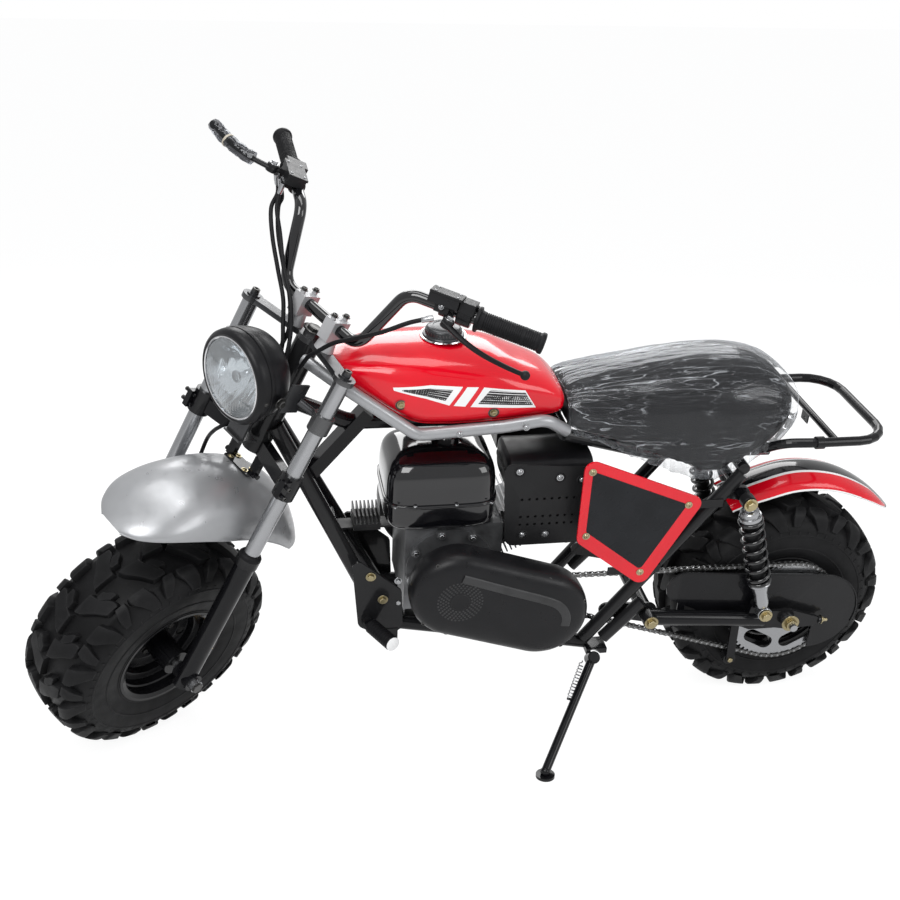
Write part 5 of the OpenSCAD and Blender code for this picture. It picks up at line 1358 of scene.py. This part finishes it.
muffler = Shape()
table = [[-42, 46, 574, 600, 626], [-44, 54, 567, 600, 633], [-50, 60, 562.6, 600, 637.4],
         [-60, 61, 562, 600, 638], [-196, 61, 562, 600, 638], [-206, 60, 562.6, 600, 637.4],
         [-212, 54, 567, 600, 633], [-214, 46, 574, 600, 626]]
muffler.skin([[p + Vector((0, 33, 0)) for p in row] for row in body_rows(table, 3, 72, (4, 4))])
muffler.make("muffler_can", "frame", satin_black, stands_for=["muffler"], slot="soot_black", crease=50)
flange = Shape()
outline = [(-128 + 90 * copysign(abs(cos(w)) ** 0.35, cos(w)),
            33 + 64.5 * copysign(abs(sin(w)) ** 0.35, sin(w))) for w in circle(96, 0.5)]
flange.skin([[(x, y, z) for x, y in outline] for z in (598.4, 601.6)])
flange.make("muffler_seam", "frame", satin_black, bevel=0.6, slot="soot_black")
pipe = Shape()
pipe.tube(smooth([(-140, 66, 505), (-152, 74, 488), (-168, 78, 462), (-180, 76, 440)], 6), 11, 24)
pipe.make("exhaust_lagging", "frame", beige)
GUARD_FACE = 100.8
GUARD_SCREWS = ((-62, 618), (-143.1, 600.9), (-187.9, 593.7), (-77.1, 473.4), (-124.0, 472.5))
bolts("guard_screws", "frame", satin_steel,
      [((x, GUARD_FACE + 0.1, z), LEFT, 4.8, "dome") for x, z in GUARD_SCREWS])
# Dark plate behind the guard's holes: painted shade, so that the holes show dark
painted_shade_plate = Shape()
painted_shade_plate.plate([(-204, 470), (-60, 470), (-60, 560), (-204, 560)], 94.5, 95.5)
painted_shade_plate.make("guard_painted_shade_plate", "frame", satin_black, slot="soot_black")
bosses = Shape()
for x, z in GUARD_SCREWS:
    bosses.turned([(0, 0), (11, 0), (11, 0.6), (9.4, 1.4), (8, 0.9), (0, 0.9)], (x, GUARD_FACE, z), LEFT, 32)
bosses.make("guard_screw_cups", "frame", satin_black)


# Drive cover: moulded shell on two centres, a perforated ring, a raised rib and bolts
FRONT_C, REAR_C = Vector((CRANK.x, CRANK.z)), Vector((-106, 346))
COVER_FACE = 216


def cover_spot(a, r, y):
    c, n = cos(a), sin(a)
    ahead = c * (FRONT_C.x - REAR_C.x) + n * (FRONT_C.y - REAR_C.y) >= 0
    q = FRONT_C if ahead else REAR_C
    return Vector((q.x + r * c, y, q.y + r * n))


cover = Shape()
profile = [(150, 86), (151, 91), (156, 93), (171, 94), (184, 93.8), (193, 92.4), (200, 89.4), (205.5, 84.8),
           (209.6, 78.6), (212.4, 71), (214.4, 62.5), (215.6, 54), (216.2, 46), (216.4, 30)]
join = atan2(FRONT_C.y - REAR_C.y, FRONT_C.x - REAR_C.x)
# Half a turn round each centre, its ends drawn in so that each stays on its own half
steps = [0.002] + list(range(1, 64)) + [64 - 0.002]
turns = [join + start + pi * j / 64 for start in (-pi / 2, pi / 2) for j in steps]
cover.skin([[cover_spot(a, r, y) for a in turns] for y, r in profile])
cover.turned([(0, 213), (19, 213), (19, 216.6), (18, 217.4), (15, 217.2), (13, 216.8), (0, 216.8)],
             (CRANK.x, 0, CRANK.z), LEFT, 64)
cover.make("drive_cover_shell", "frame", moulded, stands_for=["drive_cover"], slot="black_engine", crease=30)
pattern = Shape()
for ring_r, count, shift in ((23, 20, 0), (28, 24, 0.5), (33, 28, 0), (38, 32, 0.5), (43, 36, 0)):
    for a in circle(count, shift):
        p = (CRANK.x + ring_r * cos(a), COVER_FACE, CRANK.z + ring_r * sin(a))
        pattern.turned([(2.1, 0), (2.1, 0.7), (1.5, 1.0), (1.1, 0.5), (0, 0.45)], p, LEFT, 10, caps=False)
pattern.make("cover_perforations", "frame", worn_and_painted_highlight_plastic)
# Raised rib in paler plastic: its pale colour is a painted highlight along the fillet
rib = Shape()
line = smooth([(x, COVER_FACE, z) for x, z in ((61, 457), (-30, 422), (-112, 391), (-138, 374), (-150, 350),
                                               (-149, 330))], 6)
rows = []
for i, q in enumerate(line):
    t = (line[min(i + 1, len(line) - 1)] - line[max(i - 1, 0)]).normalized()
    out = Vector((0, 1, 0)).cross(t)
    rows.append([q + out * w + Vector((0, h, 0))
                 for w, h in ((-9.5, -0.6), (-8, 1.6), (-7, 2.1), (7, 2.1), (8, 1.6), (9.5, -0.6))])
rib.skin(rows, ring=False)
rib.make("cover_ridge", "frame", worn_and_painted_highlight_plastic)
heads = []
for a, c in ((60, FRONT_C), (-40, FRONT_C), (-120, REAR_C), (160, REAR_C), (95, REAR_C)):
    w = radians(a)
    heads.append(((c.x + 87 * cos(w), 200.5, c.y + 87 * sin(w)), (0.5 * cos(w), 1, 0.5 * sin(w)), 4, "socket",
                  0, None, False))
bolts("cover_bolts", "frame", chain_steel, heads)


# Chain: inner and outer links with their rollers, round both sprockets
PINION_TEETH, SPROCKET_TEETH = 15, 60
PINION_R = CHAIN_PITCH / 2 / sin(pi / PINION_TEETH)
SPROCKET_R = CHAIN_PITCH / 2 / sin(pi / SPROCKET_TEETH)


def chain():
    gap = REAR_AXLE - PINION
    gap.y = 0
    slope = asin((SPROCKET_R - PINION_R) / gap.length)
    aim = atan2(gap.z, gap.x)
    run = gap.length * cos(slope)
    big, small = (pi + 2 * slope) * SPROCKET_R, (pi - 2 * slope) * PINION_R
    loop = 2 * run + big + small
    links = 2 * round(loop / CHAIN_PITCH / 2)
    p2, s2 = Vector((PINION.x, PINION.z)), Vector((REAR_AXLE.x, REAR_AXLE.z))

    def way(a):
        return Vector((cos(a), sin(a)))

    def spot(s):
        s %= loop
        if s < run:
            return p2 + PINION_R * way(aim - pi / 2 - slope) + s * way(aim - slope)
        s -= run
        if s < big:
            return s2 + SPROCKET_R * way(aim - pi / 2 - slope + s / SPROCKET_R)
        s -= big
        if s < run:
            return p2 + PINION_R * way(aim + pi / 2 + slope) + (run - s) * way(aim + slope)
        return p2 + PINION_R * way(aim + pi / 2 + slope + (s - run) / PINION_R)

    plates, pins = Shape(), Shape()
    pins_at = [spot(loop * k / links) for k in range(links)]
    for k in range(links):
        a, b = pins_at[k], pins_at[(k + 1) % links]
        d = (b - a).normalized()
        n = Vector((-d.y, d.x))
        outline = []
        for c, s in ((b, 1), (a, -1)):
            for w in (-75, -35, 0, 35, 75):
                t = radians(w)
                q = c + s * d * 4.6 * cos(t) + s * n * 4.6 * sin(t)
                outline.append((q.x, q.y))
            m = a.lerp(b, 0.5) + s * n * 3.1
            outline.append((m.x, m.y))
        outer = k % 2
        for side in (1, -1):
            y0 = CHAIN_Y + side * (4.1 if outer else 2.7)
            plates.plate(outline, y0 - 0.6, y0 + 0.6)
        pins.turned([(0, 0), (1.9, 0), (2.1, 0.3), (2.1, 10.4), (1.9, 10.7), (0, 10.7)],
                    (a.x, CHAIN_Y - 5.3, a.y), LEFT, 8)
        pins.turned([(3.6, 0), (3.6, 4.0)], (a.x, CHAIN_Y - 2.0, a.y), LEFT, 10)
    hub = PINION_R - 5
    pins.turned([(0, -3), (hub, -3), (hub + 0.6, -2.4), (hub + 0.6, 2.4), (hub, 3), (9, 3), (9, 47.4),
                 (0, 47.4)], (PINION.x, CHAIN_Y, PINION.z), LEFT, 40)
    plates.make("chain_plates", "frame", chain_steel, stands_for=["drive_chain"], slot="dark_steel")
    pins.make("chain_rollers", "frame", satin_steel, slot="dark_steel")


chain()

# Rolled edge of the chain guard, round its small front end and its large rear end
GUARD_Y = 115.3
FRONT_END, FRONT_END_R = Vector((-432, 326)), 38
REAR_END, REAR_END_R = Vector((-738, 241)), 96
edge = Shape()
gap = FRONT_END - REAR_END
top = atan2(gap.y, gap.x) + acos((REAR_END_R - FRONT_END_R) / gap.length)
turns = [(FRONT_END, FRONT_END_R, top - 1 + k / 4) for k in range(5)]
turns += [(REAR_END, REAR_END_R, top + (radians(200) - top) * k / 23) for k in range(24)]
edge.tube([(c.x + r * cos(a), GUARD_Y, c.y + r * sin(a)) for c, r, a in turns], 1.5, 10)
edge.make("chain_guard_edge", "frame", satin_black)


# Shocks: springs as real coils between silver caps, bodies, rods and eyes
u = (SHOCK_LOW - SHOCK_TOP).normalized()
length = (SHOCK_LOW - SHOCK_TOP).length
for side, name in ((1, "left"), (-1, "right")):
    top, low = (p + Vector((0, side * SHOCK_Y, 0)) for p in (SHOCK_TOP, SHOCK_LOW))
    damper = Shape()
    damper.turned([(0, 16), (9, 16), (11, 19), (17, 21), (19, 23), (19, 33), (22.6, 34), (23, 35.4),
                   (23, 40.6), (22, 42), (0, 42)], top, u, 48, mark=1)
    damper.turned([(0, 40), (7, 40), (7, length - 60), (0, length - 60)], top, u, 24, mark=2)
    lower = ((0, 84), (22, 84), (23, 82.6), (23, 79.4), (22, 78), (18, 77.4), (17, 64), (15.4, 60),
             (14.6, 30), (12, 18), (0, 14))
    damper.turned([(r, length - h) for r, h in lower], top, u, 48, mark=1)
    damper.turned([(15.4, 42), (15.4, length - 84)], top, u, 36, mark=0)
    for at, mark in ((top, 0), (low, 1)):
        damper.turned([(9.2, -10.6), (14, -10.6), (15, -9.6), (15, 9.6), (14, 10.6), (9.2, 10.6)], at, LEFT,
                      40, mark=mark, caps=False)
    damper.make(name + "_shock", "frame", [satin_black, satin_steel, chrome], slot="bright_steel",
                stands_for=["shocks"] if side > 0 else ())
    coil = Shape()
    turns, wire, r = 7.6, 4.4, 21.6
    start, end = 42.6 + wire, length - 84.4 - wire
    across = u.orthogonal().normalized()
    other = u.cross(across)
    path = []
    steps = int(turns * 26)
    for i in range(steps + 1):
        f = i / steps
        # The end coils lie flat against the caps
        g = max(0.0, min(1.0, (f * turns - 0.7) / (turns - 1.4)))
        w = 2 * pi * turns * f
        path.append(top + u * (start + (end - start) * g) + r * (cos(w) * across + sin(w) * other))
    coil.tube(path, wire, 14)
    coil.make(name + "_spring", "frame", engine_gloss, slot="dark_steel",
              stands_for=["shock_springs"] if side > 0 else ())
fixings = Shape()
for side in (1, -1):
    fixings.bolt((SHOCK_TOP.x, side * (SHOCK_Y + 13.8), SHOCK_TOP.z), (0, side, 0), 9.5)
    fixings.bolt((SHOCK_LOW.x, side * (SHOCK_Y + 13.8), SHOCK_LOW.z), (0, side, 0), 9.5)
    fixings.bolt((REAR_AXLE.x, side * 148, REAR_AXLE.z), (0, side, 0), 13, h=9)
    fixings.bolt((-356, side * 151, 270), (0, side, 0), 10)
    # Chain adjuster: its screw and its head behind the axle
    fixings.turned([(0, 0), (3.6, 0), (4, 2), (4, 38), (3.2, 40), (0, 40)], (-722, side * 132, 234),
                   (-1, 0, -0.07), 16)
    fixings.bolt((-746, side * 132, 232.4), (-1, 0, -0.07), 6.6)
fixings.bolt((-564, 116.6, 127.8), LEFT, 6)
fixings.make("rear_bolts", "frame", zinc, bevel=0.5)


# Pegs, peg plate bolts, the stand's spring, disc and fork bolts
bolts("peg_plate_bolts", "frame", zinc, [((x, side * 95.6, z), (0, side, 0), 7)
                                         for x, z in ((221, 389), (196, 332)) for side in (1, -1)], bevel=0.4)
pegs, ends = Shape(), Shape()
for side in (1, -1):
    root, tip = Vector((226, side * 100.3, 280)), Vector((186, side * 178, 284))
    d = (tip - root).normalized()
    start = root + (tip - root) * 0.16
    profile = []
    span = (tip - start).length
    count = int(span / 7)
    for k in range(count):
        h = span * k / count
        profile += [(14.6, h), (15.4, h + 1.2), (15.4, h + 4.4), (14.6, h + 5.6)]
    profile = [(9, -1), (12, 0)] + profile + [(14.6, span - 1), (12, span - 0.4), (0, span - 0.4)]
    pegs.turned(profile, start, d, 36, caps=False)
    ends.turned([(0, 0), (13.6, 0), (14.6, 1), (14.6, 2.4), (13.2, 3.4), (0, 3.8)], tip - d * 0.6, d, 36)
pegs.make("peg_rubbers", "frame", grip_rubber, slot="grip_rubber")
ends.make("peg_end_caps", "frame", white_paint)

PIVOT = Vector((-240, 148, 186))
FOOT = MACHINE.inverted() @ Vector((-106 - MIDDLE[0], 336 - MIDDLE[1], 12))
leg = (FOOT - PIVOT).normalized()
spring = Shape()
start, end = PIVOT + leg * 16 + Vector((16, -6, -2)), PIVOT + leg * 96 + Vector((13, -2, 3))
d = (end - start).normalized()
across = d.orthogonal().normalized()
other = d.cross(across)
path = [start - d * 8, start - d * 3]
turns, segs = 11, 14
for i in range(turns * segs + 1):
    w = 2 * pi * i / segs
    path.append(start + (end - start) * i / (turns * segs) + 4.6 * (cos(w) * across + sin(w) * other))
path += [end + d * 3, end + d * 7 - Vector((10, 0, 3))]
spring.tube(path, 1.15, 8)
spring.make("stand_spring", "side_stand", satin_steel, slot="dark_steel")
peg = Shape()
peg.tube([PIVOT + leg * 100, PIVOT + leg * 100 + Vector((16, -3, 4))], 2.6, 12)
peg.bolt(PIVOT + leg * 16 + Vector((4, -4, 0)), (1, -0.3, 0), 3.4, washer=False)
peg.make("stand_spring_peg", "side_stand", satin_black)

for name, body, frame_at in WHEELS:
    bolts(name + "_disc_bolts", body, zinc,
          [((36 * cos(a), -108.2, 36 * sin(a)), RIGHT, 5, "socket", 0, None, False) for a in circle(6, 0.25)],
          frame_at)
fixings = Shape()
for side in (1, -1):
    fixings.bolt((0, side * 168.4, 0), (0, side, 0), 12, h=7, washer=False)
    for t in (464, 484):
        fixings.bolt((25, side * 159.2, t), (0, side, 0), 4.4, "socket", washer=False)
    fixings.bolt((0, side * FORK_Y, 722.2), UP, 7.6, "socket", washer=False)
    for x in (-44, -12):
        fixings.bolt((x, side * 44, 783.6), UP, 5.4, "socket")
fixings.bolt((-35, 0, 725.8), UP, 15, h=5)
fixings.make("fork_bolts", "steering", chain_steel, frame=FORK, bevel=0.5)
seals = Shape()
for side in (1, -1):
    seals.turned([(15.6, 302), (21, 302), (22.6, 304), (22.6, 308), (20, 312), (17, 314), (15.6, 314.6)],
                 (0, side * FORK_Y, 0), AXIS, 48, caps=False)
seals.make("fork_dust_seals", "steering", grip_rubber, frame=FORK)
